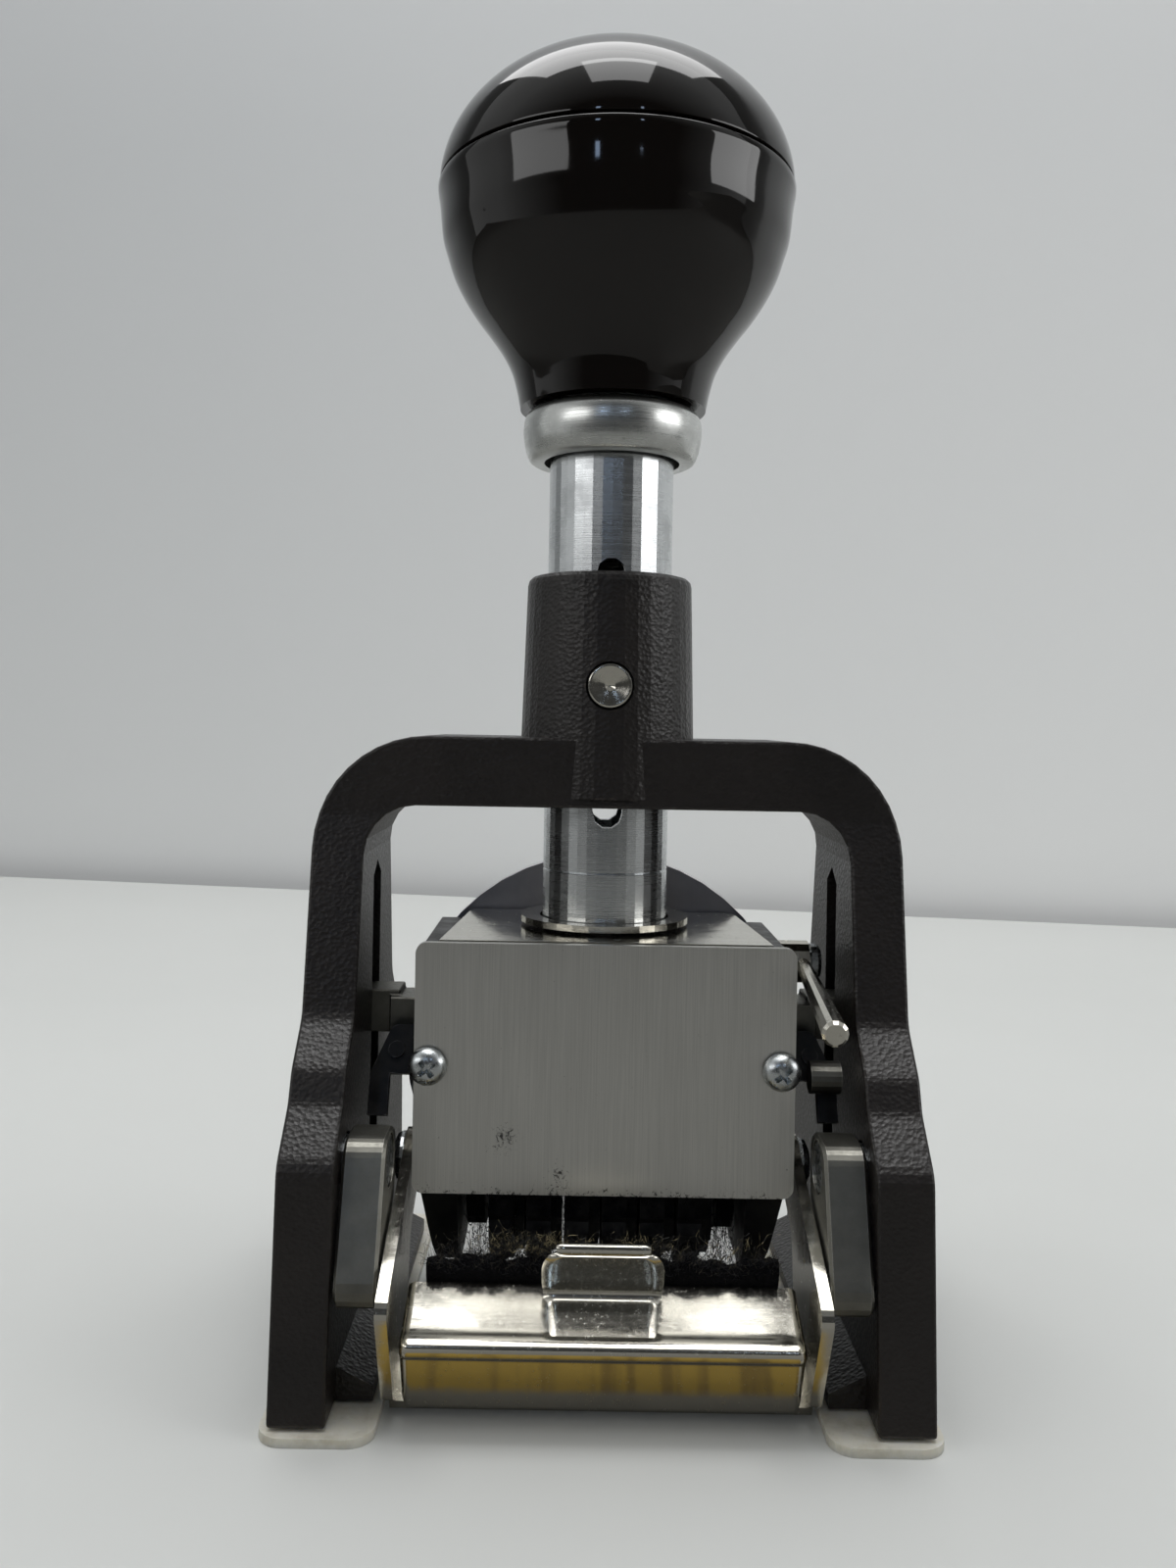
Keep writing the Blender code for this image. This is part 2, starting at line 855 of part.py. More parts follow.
def build_tube_ends(parts, aluminium, nickel):
    b = tube_radius + seat_gap
    low = casing_top_height + seat_gap
    high = low + flange_thickness
    rim = flange_radius - flange_thickness
    flange = [(rim, high), (flange_radius, high + flange_rim_rise),
              (flange_radius, low + flange_rim_rise), (rim, low), (b, low), (b, high)]
    finished(turned("tube_flange", flange, parts, ring=True, segments=flange_segments), nickel)
    r, hole = tube_bore_radius - seat_gap, plunger_screw_radius + seat_gap
    foot_top = tube_bottom + tube_foot_length
    foot = [(r, foot_top), (r, tube_bottom), (hole, tube_bottom), (hole, foot_top)]
    finished(turned("tube_foot_plug", foot, parts, ring=True, segments=hidden_segments),
             aluminium)
    hole = knob_screw_radius + seat_gap
    plug_low = tube_top - tube_plug_length
    plug = [(r, tube_top), (r, plug_low), (hole, plug_low), (hole, tube_top)]
    finished(turned("tube_top_plug", plug, parts, ring=True, segments=hidden_segments),
             aluminium)


def coil_points():
    """The return spring's centre line: open turns between two closed ends."""
    low = lock_pin_height + lock_pin_radius + return_wire_radius + seat_gap
    high = tube_top - tube_plug_length - return_wire_radius - seat_gap
    close_pitch = 2 * return_wire_radius + 2 * seat_gap
    end_rise = close_pitch * return_end_turns
    open_turns = return_coil_turns - 2 * return_end_turns
    open_rise = high - low - 2 * end_rise
    points = []
    count = return_coil_turns * return_coil_points
    for i in range(count + 1):
        turn = return_coil_turns * i / count
        if turn < return_end_turns:
            z = low + close_pitch * turn
        elif turn > return_coil_turns - return_end_turns:
            z = high - close_pitch * (return_coil_turns - turn)
        else:
            z = low + end_rise + open_rise * (turn - return_end_turns) / open_turns
        angle = 2 * math.pi * turn
        points.append(Vector((return_coil_radius * math.cos(angle),
                              return_coil_radius * math.sin(angle), z)))
    return points


def least_coil_gap(points):
    near = return_coil_points * 2 // 3
    least = min((points[i] - points[j]).length
                for i in range(len(points)) for j in range(i + near, len(points)))
    return least - 2 * return_wire_radius


def build_return_spring(parts, finish):
    points = coil_points()
    print(f"return_spring least gap {least_coil_gap(points) * 1000:.2f} mm")
    curve = bpy.data.curves.new("return_spring", "CURVE")
    curve.dimensions = "3D"
    curve.bevel_depth = return_wire_radius
    curve.bevel_resolution = 1
    curve.use_fill_caps = True
    spline = curve.splines.new("POLY")
    spline.points.add(len(points) - 1)
    for point, place in zip(spline.points, points):
        point.co = (*place, 1.0)
    thing = bpy.data.objects.new("return_spring", curve)
    parts.objects.link(thing)
    finished(baked(thing), finish)


def build_collar(parts, finish):
    rise = collar_top - collar_bottom
    outside = [(collar_radius * r, collar_bottom + rise * z) for r, z in collar_profile_shares]
    b = tube_radius + seat_gap
    profile = outside + [(b, collar_bottom), (b, collar_top)]
    finished(turned("collar", profile, parts, ring=True), finish)


def build_knob(parts, plastic, steel):
    neck = collar_top + seat_gap
    rise = knob_seam - neck
    outside = [(knob_radius, knob_seam)]
    outside += [(knob_radius * r, neck + rise * z) for r, z in knob_profile_shares]
    outside += [(knob_neck_radius, neck)]
    bore = tube_radius + seat_gap
    bore_top = tube_top + seat_gap
    floor = bore_top + knob_boss_thickness
    hole = knob_screw_radius + seat_gap
    inner = knob_radius - knob_wall
    inside = [
        (bore, neck), (bore, bore_top), (hole, bore_top), (hole, floor),
        (knob_radius * knob_floor_share, floor),
        (inner - knob_wall, floor + rise * knob_hollow_low_share),
        (inner, floor + rise * knob_hollow_high_share), (inner, knob_seam),
    ]
    finished(turned("knob_body", outside + inside, parts, ring=True), plastic)

    seam = knob_seam + seat_gap
    radius, height = knob_radius - cap_step, knob_cap_height
    dome = [(radius * math.sin(math.pi / 2 * k / dome_steps),
             knob_seam + height * math.cos(math.pi / 2 * k / dome_steps))
            for k in range(dome_steps)]
    spigot = inner - seat_gap
    spigot_inner = spigot - cap_spigot_wall
    low = knob_seam - cap_spigot_length
    inner_dome = [(spigot_inner * math.sin(math.pi / 2 * k / arc_steps),
                   knob_seam + (height - cap_wall) * math.cos(math.pi / 2 * k / arc_steps))
                  for k in range(arc_steps - 1, -1, -1)]
    profile = (dome + [(radius, seam), (spigot, seam), (spigot, low), (spigot_inner, low)]
               + inner_dome)
    finished(turned("knob_cap", profile, parts), plastic)

    top = floor + seat_gap
    screw = [
        (0.0, top + knob_screw_head_height),
        (knob_screw_head_radius, top + knob_screw_head_height),
        (knob_screw_head_radius, top), (knob_screw_radius, top),
        (knob_screw_radius, top - knob_screw_length), (0.0, top - knob_screw_length),
    ]
    finished(turned("knob_screw", screw, parts, segments=hidden_segments), steel)


# Casing

def cheek_outline():
    r = cheek_foot_radius
    return rounded([
        (-casing_front, cheek_top, 0.0), (-casing_front, cheek_waist, cheek_waist_round),
        (-r, shaft_height - r, cheek_foot_round), (r, shaft_height - r, cheek_foot_round),
        (casing_rear, cheek_waist, cheek_waist_round), (casing_rear, cheek_top, 0.0),
    ])


def build_cheeks(parts, tools, finish):
    def one(side, word):
        width = cheek_outer - cheek_inner
        middle = side * between(cheek_inner, cheek_outer)
        cheek = plate("cheek_" + word, [cheek_outline()], width, parts, ACROSS,
                      (middle, 0.0, 0.0))
        foot = shaft_height - cheek_foot_radius
        slope = cheek_taper_run / (cheek_taper_top - foot)
        reach = cut_overrun
        outline = [(side * cheek_outer, cheek_taper_top),
                   (side * (cheek_outer + reach), cheek_taper_top),
                   (side * (cheek_outer + reach), foot - reach),
                   (side * (cheek_outer - cheek_taper_run - slope * reach), foot - reach)]
        cut(cheek, plate("cheek_taper", [outline[::side]],
                         2 * (casing_front + casing_rear), tools, FRONT))
        holes = [
            (0.0, shaft_height, shaft_bore_radius),
            (-carrier_pivot_forward, carrier_pivot_height, carrier_stud_radius + seat_gap),
            (-tie_bar_front, tie_bar_height, tie_bar_radius + seat_gap),
            (tie_bar_rear, tie_bar_height, tie_bar_radius + seat_gap),
        ]
        for y, z, r in holes:
            cut(cheek, cylinder("cheek_hole", r, 3 * width, tools, TO_RIGHT, (middle, y, z)))
        hole_length = plate_screw_length + seat_gap
        cut(cheek, cylinder("plate_screw_hole", plate_screw_radius + seat_gap,
                            hole_length + cut_overrun, tools, TO_FRONT,
                            (side * plate_screw_offset,
                             -casing_front + (hole_length - cut_overrun) / 2,
                             plate_screw_height), hidden_segments))
        cut(cheek, cylinder("dial_screw_hole", plate_screw_radius + seat_gap,
                            hole_length + cut_overrun, tools, TO_FRONT,
                            (side * dial_screw_offset,
                             casing_rear - (hole_length - cut_overrun) / 2,
                             dial_screw_height), hidden_segments))
        if side > 0:
            cut(cheek, cylinder("side_stud_hole", side_stud_radius + seat_gap, 3 * width,
                                tools, TO_RIGHT, (middle, side_pivot_back, side_pivot_height),
                                hidden_segments))
        finished(cheek, finish)

    mirrored_sides(one)


def build_casing_top(parts, tools, finish, dark):
    low = casing_top_height - casing_top_thickness
    f, b = casing_top_front_half_width, casing_top_rear_half_width
    outline = rounded([(-f, -casing_front, 0.0), (f, -casing_front, 0.0),
                       (b, casing_rear, casing_edge_round),
                       (-b, casing_rear, casing_edge_round)])
    hole = circle(plunger_screw_radius + seat_gap)
    top = plate("casing_top", [outline, hole], casing_top_thickness, parts, FLAT,
                (0.0, 0.0, between(low, casing_top_height)))
    finished(top, finish)
    side = cheek_inner - seat_gap
    bridge = block("casing_bridge", (-side, -bridge_front, cheek_top - bridge_height),
                   (side, bridge_rear, cheek_top), parts)
    cut(bridge, cylinder("bridge_hole", plunger_screw_radius + seat_gap, 3 * bridge_height,
                         tools, at=(0.0, 0.0, cheek_top)))
    finished(bevelled(bridge, casing_edge_round, 1), dark)


def build_plunger_screw(parts, finish):
    head_top = cheek_top - bridge_height - seat_gap
    head_low = head_top - plunger_screw_head_height
    end = tube_bottom + tube_foot_length - seat_gap
    s = plunger_screw_socket_radius
    profile = [
        (0.0, end), (plunger_screw_radius, end), (plunger_screw_radius, head_top),
        (plunger_screw_head_radius, head_top), (plunger_screw_head_radius, head_low),
        (s, head_low), (s, head_low + s), (0.0, head_low + s),
    ]
    finished(turned("plunger_screw", profile, parts, segments=hidden_segments), finish)


def build_tie_bars(parts, finish):
    length = 2 * (cheek_outer - seat_gap)
    for name, y in (("tie_bar_front", -tie_bar_front), ("tie_bar_rear", tie_bar_rear)):
        finished(cylinder(name, tie_bar_radius, length, parts, TO_RIGHT,
                          (0.0, y, tie_bar_height), hidden_segments), finish)


def build_nameplate(parts, finish):
    w, c = plate_half_width, plate_corner
    outline = rounded([(-w, plate_bottom, c), (w, plate_bottom, c), (w, plate_top, c),
                       (-w, plate_top, c)])
    holes = [circle(plate_screw_radius + seat_gap, side * plate_screw_offset,
                    plate_screw_height, hidden_segments) for side in (-1, 1)]
    thing = plate("nameplate", [outline] + holes, plate_thickness, parts, FRONT,
                  (0.0, -between(plate_back, plate_face), 0.0))
    finished(thing, finish)


def headed(shares, head, high, radius, length):
    """The profile of a pin with a turned head; its height 0 is under the head."""
    crown = [(head * r, high * z) for r, z in shares]
    return [(0.0, high)] + crown + [(radius, 0.0), (radius, -length), (0.0, -length)]


def pan_screw(name, parts, tools, finish, axis, at):
    """A pan head screw with a cross recess; the point given is under its head."""
    r, h = plate_screw_head_radius, plate_screw_head_height
    profile = headed(pan_head_shares, r, h, plate_screw_radius, plate_screw_length)
    screw = turned(name, profile, parts, axis, at, screw_segments)
    low = h - cross_recess_depth
    for turn in (0.0, math.pi / 2):
        half = (cross_recess_length / 2, cross_recess_width / 2)
        slot = block("cross_recess", (-half[0], -half[1], low),
                     (half[0], half[1], h + cut_overrun), tools)
        spin = Matrix.Rotation(turn + math.pi / 4, 4, "Z")
        slot.matrix_world = screw.matrix_world @ spin @ slot.matrix_world
        cut(screw, slot)
    return finished(screw, finish)


def build_plate_screws(parts, tools, finish):
    def one(side, word):
        pan_screw("plate_screw_" + word, parts, tools, finish, TO_FRONT,
                  (side * plate_screw_offset, -plate_face - seat_gap, plate_screw_height))
        pan_screw("dial_screw_" + word, parts, tools, finish, TO_BACK,
                  (side * dial_screw_offset, dial_back + seat_gap, dial_screw_height))

    mirrored_sides(one)


def dial_outline():
    r, w = dial_radius, dial_skirt_half_width
    meet = -math.asin(dial_skirt_meet_share)
    top = arc(r, math.pi - meet, meet, 0.0, dial_centre_height, dial_rim_steps)
    skirt = rounded([(top[-1][0], top[-1][1], 0.0), (w, dial_bottom, dial_skirt_corner),
                     (-w, dial_bottom, dial_skirt_corner), (top[0][0], top[0][1], 0.0)])
    return top + skirt[1:-1]


def build_dial(parts, finish):
    holes = [circle(pointer_pivot_radius + seat_gap, 0.0, dial_centre_height)]
    holes += [circle(plate_screw_radius + seat_gap, side * dial_screw_offset,
                     dial_screw_height, hidden_segments) for side in (-1, 1)]
    for k in range(dial_notch_count):
        angle = math.pi / 2 + (k - (dial_notch_count - 1) / 2) * dial_notch_step
        holes.append(circle(dial_notch_hole, dial_notch_radius * math.cos(angle),
                            dial_centre_height + dial_notch_radius * math.sin(angle),
                            dial_notch_segments))
    dial = plate("dial_plate", [dial_outline()] + holes, dial_thickness, parts, FRONT,
                 (0.0, between(dial_front, dial_back), 0.0))
    finished(dial, finish)


def build_pointer(parts, nickel, steel):
    pivot = (0.0, dial_back + seat_gap + pointer_thickness / 2, dial_centre_height)
    h, t = pointer_hub_radius, pointer_tip_radius
    reach = pointer_length
    lean = math.asin((h - t) / reach)
    hub = arc(h, -lean, math.pi + lean, steps=hub_arc_steps)
    tip = arc(t, math.pi + lean, 2 * math.pi - lean, 0.0, -reach)
    hole = circle(pointer_pivot_radius + hinge_gap)
    arm = plate("dial_pointer", [hub + tip, hole], pointer_thickness, parts, FRONT, pivot)
    finished(arm, nickel)
    base = pivot[1] + pointer_thickness / 2 + seat_gap
    profile = [(0.0, pointer_knob_height)]
    profile += [(pointer_knob_radius * r, pointer_knob_height * z)
                for r, z in pointer_knob_shares]
    profile.append((0.0, 0.0))
    knob = turned("pointer_knob", profile, parts, TO_BACK,
                  (0.0, base, dial_centre_height - reach), screw_segments)
    finished(knob, nickel)
    profile = headed(low_head_shares, pointer_pivot_head_radius, pointer_pivot_head_height,
                     pointer_pivot_radius, base - casing_rear)
    finished(turned("pointer_pivot", profile, parts, TO_BACK, (0.0, base, dial_centre_height),
                    screw_segments), steel)


# Number wheels

def type_ring_outline():
    """Ten flat type faces with a groove between each two."""
    step = 2 * math.pi / digit_count
    half_face = step / 2 * digit_face_share
    low = wheel_radius - digit_groove_depth
    points = []
    for k in range(digit_count):
        middle = k * step
        for angle, radius in ((-half_face, wheel_radius), (half_face, wheel_radius),
                              (step / 2, low)):
            points.append((radius * math.cos(middle + angle), radius * math.sin(middle + angle)))
    return points


def ratchet_outline():
    step = 2 * math.pi / digit_count
    root = ratchet_tip_radius - ratchet_tooth_depth
    points = []
    for k in range(digit_count):
        for share, radius in ((0.0, ratchet_tip_radius), (ratchet_tooth_face_share, root),
                              (ratchet_tooth_back_share, between(root, ratchet_tip_radius))):
            angle = (k + share) * step
            points.append((radius * math.cos(angle), radius * math.sin(angle)))
    return points


def build_wheels(parts, tools, finish):
    half = wheel_width / 2
    ratchet_width = wheel_width - type_ring_width + ring_overlap
    wheel = plate("number_wheel_1", [type_ring_outline()], type_ring_width, parts, ACROSS,
                  (-half + type_ring_width / 2, 0.0, 0.0))
    join(wheel, plate("ratchet_shape", [ratchet_outline()], ratchet_width, tools, ACROSS,
                      (half - ratchet_width / 2, 0.0, 0.0)))
    cut(wheel, cylinder("wheel_bore", shaft_bore_radius, 3 * wheel_width, tools, TO_RIGHT))
    origin_on(wheel, (0.0, 0.0, 0.0))
    finished(wheel, finish)
    first = -wheel_pitch * (wheel_count - 1) / 2
    for k in range(wheel_count):
        copy = wheel
        if k:
            copy = bpy.data.objects.new(f"number_wheel_{k + 1}", wheel.data)
            parts.objects.link(copy)
            copy.rotation_euler = wheel.rotation_euler
        copy.location = (first + k * wheel_pitch, 0.0, shaft_height)
    settle()


def build_wheel_shaft(parts, finish):
    length = 2 * (cheek_outer - seat_gap) - cheek_taper_run
    finished(cylinder("wheel_shaft", shaft_radius, length, parts, TO_RIGHT,
                      (0.0, 0.0, shaft_height)), finish)


# Pawl rocker

def rocker_point(radius):
    angle = math.pi / 2 - rocker_lean
    return (radius * math.cos(angle), radius * math.sin(angle))


def rocker_arm_outline():
    end_y, end_z = rocker_point(rocker_reach)
    h, t = rocker_hub_radius, rocker_end_radius
    tilt = math.pi / 2 - rocker_lean
    spread = math.acos((h - t) / rocker_reach)
    end = arc(t, tilt - spread, tilt + spread, end_y, end_z)
    hub = arc(h, tilt + spread, tilt + 2 * math.pi - spread, steps=hub_arc_steps)
    return end + hub


def build_rocker(parts, tools, finish):
    pivot = (0.0, 0.0, shaft_height)
    span = rocker_arm_inner + rocker_arm_thickness / 2
    arms = []
    for side, word in ((-1, "left"), (1, "right")):
        arm = plate("rocker_arm_" + word, [rocker_arm_outline()], rocker_arm_thickness,
                    parts if side < 0 else tools, ACROSS, (side * span, 0.0, shaft_height))
        arms.append(arm)
    rocker = arms[0]
    rocker.name = "pawl_rocker"
    y, z = rocker_point(rocker_reach)
    tie = cylinder("rocker_tie", rocker_tie_radius, 2 * span, tools, TO_RIGHT,
                   (0.0, y, z + shaft_height), hidden_segments)
    join(rocker, tie, arms[1])
    for side in (-1, 1):
        cut(rocker, cylinder("rocker_bore", shaft_bore_radius, 3 * rocker_arm_thickness, tools,
                             TO_RIGHT, (side * span, 0.0, shaft_height)))
    origin_on(rocker, pivot)
    finished(rocker, finish)


def build_pawl(parts, tools, finish):
    """Six fingers on one comb, each shorter than the last, hung from the rocker's tie bar."""
    y, z = rocker_point(rocker_reach)
    hub_outer = rocker_tie_radius + seat_gap + pawl_hub_wall
    hub_inner = rocker_tie_radius + seat_gap
    half = rocker_arm_inner - seat_gap
    hub_profile = [(hub_outer, half), (hub_outer, -half), (hub_inner, -half), (hub_inner, half)]
    comb = turned("pawl_comb", hub_profile, parts, TO_RIGHT, (0.0, y, z + shaft_height),
                  hidden_segments, ring=True)
    first = -wheel_pitch * (wheel_count - 1) / 2
    lane = wheel_width / 2 - (wheel_width - type_ring_width) / 2
    angle = math.pi / 2 - rocker_lean
    for k in range(wheel_count):
        tip = ratchet_tip_radius + seat_gap + pawl_finger_step * (wheel_count - 1 - k)
        root = rocker_reach - between(hub_inner, hub_outer)
        half_t = pawl_finger_thickness / 2
        outline = [(tip, -half_t), (tip, 0.0), (root, half_t), (root, -half_t)]
        c, s = math.cos(angle), math.sin(angle)
        turned_points = [(a * c - b * s, a * s + b * c) for a, b in outline]
        finger = plate("pawl_finger", [turned_points], pawl_finger_width, tools, ACROSS,
                       (first + k * wheel_pitch + lane, 0.0, shaft_height))
        join(comb, finger)
    finished(comb, finish)


def build_detent(parts, tools, finish):
    """Leaf springs in one piece, each pressing on the wheel below it."""
    t = detent_thickness
    bar_face = -tie_bar_front - tie_bar_radius - seat_gap
    angle = math.pi * detent_tip_share
    tip_radius = wheel_radius + seat_gap
    tip = (tip_radius * math.cos(angle), shaft_height + tip_radius * math.sin(angle))
    knee = (bar_face, tie_bar_height - detent_root)
    outline = [
        (bar_face, detent_top), (bar_face - t, detent_top), (knee[0] - t, knee[1]),
        (tip[0] - t, tip[1]), (tip[0], tip[1]), (knee[0], knee[1]),
    ]
    half = wheel_pitch * wheel_count / 2 - seat_gap
    comb = plate("detent_comb", [outline], 2 * half, parts, ACROSS)
    low = shaft_height
    high = knee[1]
    for k in range(wheel_count - 1):
        x = -wheel_pitch * (wheel_count - 2) / 2 + k * wheel_pitch
        cut(comb, block("detent_slot", (x - detent_slot_width / 2, -casing_front, low),
                        (x + detent_slot_width / 2, 0.0, high), tools))
    finished(comb, finish)


# Pieces on the cheeks' outsides

def build_lugs(parts, tools, finish):
    def one(side, word):
        tip = inner_half_width + groove_depth - seat_gap
        half = groove_width / 2 - lug_play
        step = side_seat + lug_neck_length
        low = [(side * step, -half, lug_bottom), (side * tip, half, lug_top)]
        lug = block("guide_lug_" + word, [min(a, b) for a, b in zip(*low)],
                    [max(a, b) for a, b in zip(*low)], parts)
        x0, x1 = sorted((side * side_seat, side * (step + lug_neck_sink)))
        neck = block("lug_neck", (x0, -lug_neck_half_depth, lug_bottom + lug_neck_step),
                     (x1, half - lug_neck_step, lug_neck_top), tools)
        join(lug, neck)
        finished(bevelled(lug, lug_edge_round, 1), finish)

    mirrored_sides(one)


def bracket_middle(height):
    return (height - bracket_bottom) * math.tan(bracket_lean) - bracket_front


def build_brackets(parts, tools, finish):
    def one(side, word):
        out, seat = bracket_outer, side_seat
        leg = out - bracket_leg_width
        outline = rounded([
            (side * seat, bracket_top, 0.0), (side * leg, bracket_top, bracket_thickness),
            (side * out, bracket_knee, bracket_thickness), (side * out, bracket_bottom, 0.0),
            (side * leg, bracket_bottom, 0.0), (side * leg, bracket_knee, 0.0),
            (side * seat, bracket_knee, 0.0)][::side], bend_arc_steps)
        bracket = plate("side_bracket_" + word, [outline], bracket_thickness, parts, FRONT)
        rivet_end = bracket_thickness / 2 + bracket_rivet_rise
        join(bracket, cylinder("bracket_rivet", bracket_rivet_radius, rivet_end, tools, TO_FRONT,
                               (side * between(seat, out), -rivet_end / 2,
                                bracket_rivet_height), hidden_segments))
        lean = Matrix.Rotation(-bracket_lean, 4, "X")
        low = Matrix.Translation((0.0, -bracket_front, bracket_bottom))
        back = Matrix.Translation((0.0, 0.0, -bracket_bottom))
        bracket.matrix_world = low @ lean @ back @ bracket.matrix_world
        settle()
        rise = bracket_top - bracket_knee
        x0, x1 = sorted((side * seat, side * (seat + bracket_thickness)))
        ear = block("bracket_ear", (x0, bracket_middle(bracket_knee), bracket_knee),
                    (x1, -lug_neck_half_depth - seat_gap, bracket_top - rise / 3), tools)
        join(bracket, ear)
        origin_on(bracket, (0.0, 0.0, bracket_bottom))
        finished(bracket, finish)

    mirrored_sides(one)


def build_bracket_stud(parts, finish):
    """The smooth stud along X that stands on the front of the right bracket."""
    face = bracket_middle(roller_height) - bracket_thickness / 2 / math.cos(bracket_lean)
    forward = (roller_radius + seat_gap) / math.cos(bracket_lean)
    place = (bracket_outer - roller_length / 2, face - forward, roller_height)
    finished(cylinder("bracket_stud", roller_radius, roller_length, parts, TO_RIGHT, place),
             finish)


def build_side_lever(parts, tools, nickel, steel):
    """A boss on a stud at the right cheek, with a tapered handle that points forward."""
    pivot = (0.0, side_pivot_back, side_pivot_height)
    low, high = side_seat, side_boss_outer
    bore = side_stud_radius + hinge_gap
    ring = [(side_boss_radius, high), (side_boss_radius, low), (bore, low), (bore, high)]
    lever = turned("side_lever", ring, parts, TO_RIGHT, pivot, screw_segments, ring=True)
    tip = Vector((handle_tip_offset, -handle_tip_forward, handle_tip_height))
    root = Vector((handle_root_offset, side_pivot_back - side_boss_radius + side_handle_root_sink,
                   side_pivot_height))
    run = (tip - root).length
    profile = [
        (0.0, run), (handle_tip_radius - handle_tip_chamfer, run),
        (handle_tip_radius, run - handle_tip_chamfer), (handle_root_radius, 0.0), (0.0, 0.0),
    ]
    handle = turned("handle_shape", profile, tools, UPRIGHT, (0.0, 0.0, 0.0), screw_segments)
    aim = (tip - root).to_track_quat("Z", "Y").to_matrix().to_4x4()
    handle.matrix_world = Matrix.Translation(root) @ aim
    join(lever, handle)
    cut(lever, cylinder("side_bore", bore, 4 * (high - low), tools, TO_RIGHT,
                        (between(low, high), *pivot[1:]), screw_segments))
    finished(lever, nickel)
    head = high + seat_gap
    profile = headed(low_head_shares, side_stud_head_radius, side_stud_head_height,
                     side_stud_radius, head - cheek_inner - seat_gap)
    finished(turned("side_lever_stud", profile, parts, TO_RIGHT, (head, *pivot[1:]),
                    screw_segments), steel)


# Ink pad carrier, drawn from its pivot with the pad level

def carrier_arm_outline():
    r = carrier_eye_radius
    front, back = carrier_front_reach, carrier_rear_reach
    eye = arc(r, 0.0, math.pi, steps=2 * arc_steps)
    body = rounded([
        (-r, 0.0, 0.0), (-front, -carrier_back_top, 0.0),
        (-front, -carrier_depth, carrier_nose_round),
        (back - 2 * carrier_heel_round, -carrier_depth + carrier_heel_round / 2,
         carrier_heel_round),
        (back, -carrier_heel_depth + carrier_heel_round, carrier_heel_round),
        (back, -carrier_back_top, carrier_heel_round),
        (r, -carrier_throat_depth, carrier_eye_radius), (r, 0.0, 0.0),
    ])
    return eye + body[1:-1]


def build_carrier(parts, tools, finish, empty):
    hole = circle(carrier_stud_radius + hinge_gap)
    middle = carrier_arm_inner + carrier_arm_thickness / 2
    arms = []
    for side in (-1, 1):
        arms.append(plate("ink_carrier" if side < 0 else "carrier_arm_shape",
                          [carrier_arm_outline(), hole], carrier_arm_thickness,
                          parts if side < 0 else tools, ACROSS, (side * middle, 0.0, 0.0)))
    carrier, other = arms
    y = tray_rear + carrier_back_gap
    back = block("carrier_back_shape", (-middle, y, -carrier_back_bottom),
                 (middle, y + carrier_back_thickness, -carrier_back_top), tools)
    join(carrier, back, other)
    origin_on(carrier, (0.0, 0.0, 0.0))
    finished(carrier, finish)
    hang(carrier, empty)


def build_carrier_studs(parts, finish):
    def one(side, word):
        arm_face = carrier_arm_inner + carrier_arm_thickness + hinge_gap
        shank = arm_face - (cheek_outer - carrier_stud_depth)
        profile = headed(round_head_shares, carrier_stud_head_radius, carrier_stud_head_height,
                         carrier_stud_radius, shank)
        stud = turned("carrier_stud_" + word, profile, parts, TO_RIGHT if side > 0 else TO_LEFT,
                      (side * arm_face, -carrier_pivot_forward, carrier_pivot_height),
                      screw_segments)
        finished(stud, finish)

    mirrored_sides(one)


def tray_section(inset, floor, rim_overrun):
    f, b = tray_front + inset, tray_rear - inset
    nose = max(tray_nose_round - inset, tray_wall)
    heel = max(tray_heel_round - inset, tray_wall / 2)
    top = -tray_rim + rim_overrun
    return rounded([(f, top, 0.0), (f, -tray_floor + floor, nose), (b, -tray_floor + floor, heel),
                    (b, top, 0.0)])


def tab_blade_outline():
    """The part of the finger tab that stands out, from its bend to its lip."""
    wide, tip, c = tab_half_width, tab_tip_half_width, tab_corner
    run = tray_front + tab_tip_forward
    return rounded([(-wide, 0.0, 0.0), (wide, 0.0, 0.0), (wide, run - c, c), (tip, run, c / 2),
                    (-tip, run, c / 2), (-wide, run - c, c)], small_arc_steps)


def tab_root_outline():
    """The part of the finger tab that lies on the tray's front wall, up to the bend."""
    low, high = -tab_root_drop, -tab_bend_drop + tab_thickness / 2
    root, wide = tab_root_half_width, tab_half_width
    return [(-root, low), (root, low), (wide, high), (-wide, high)]


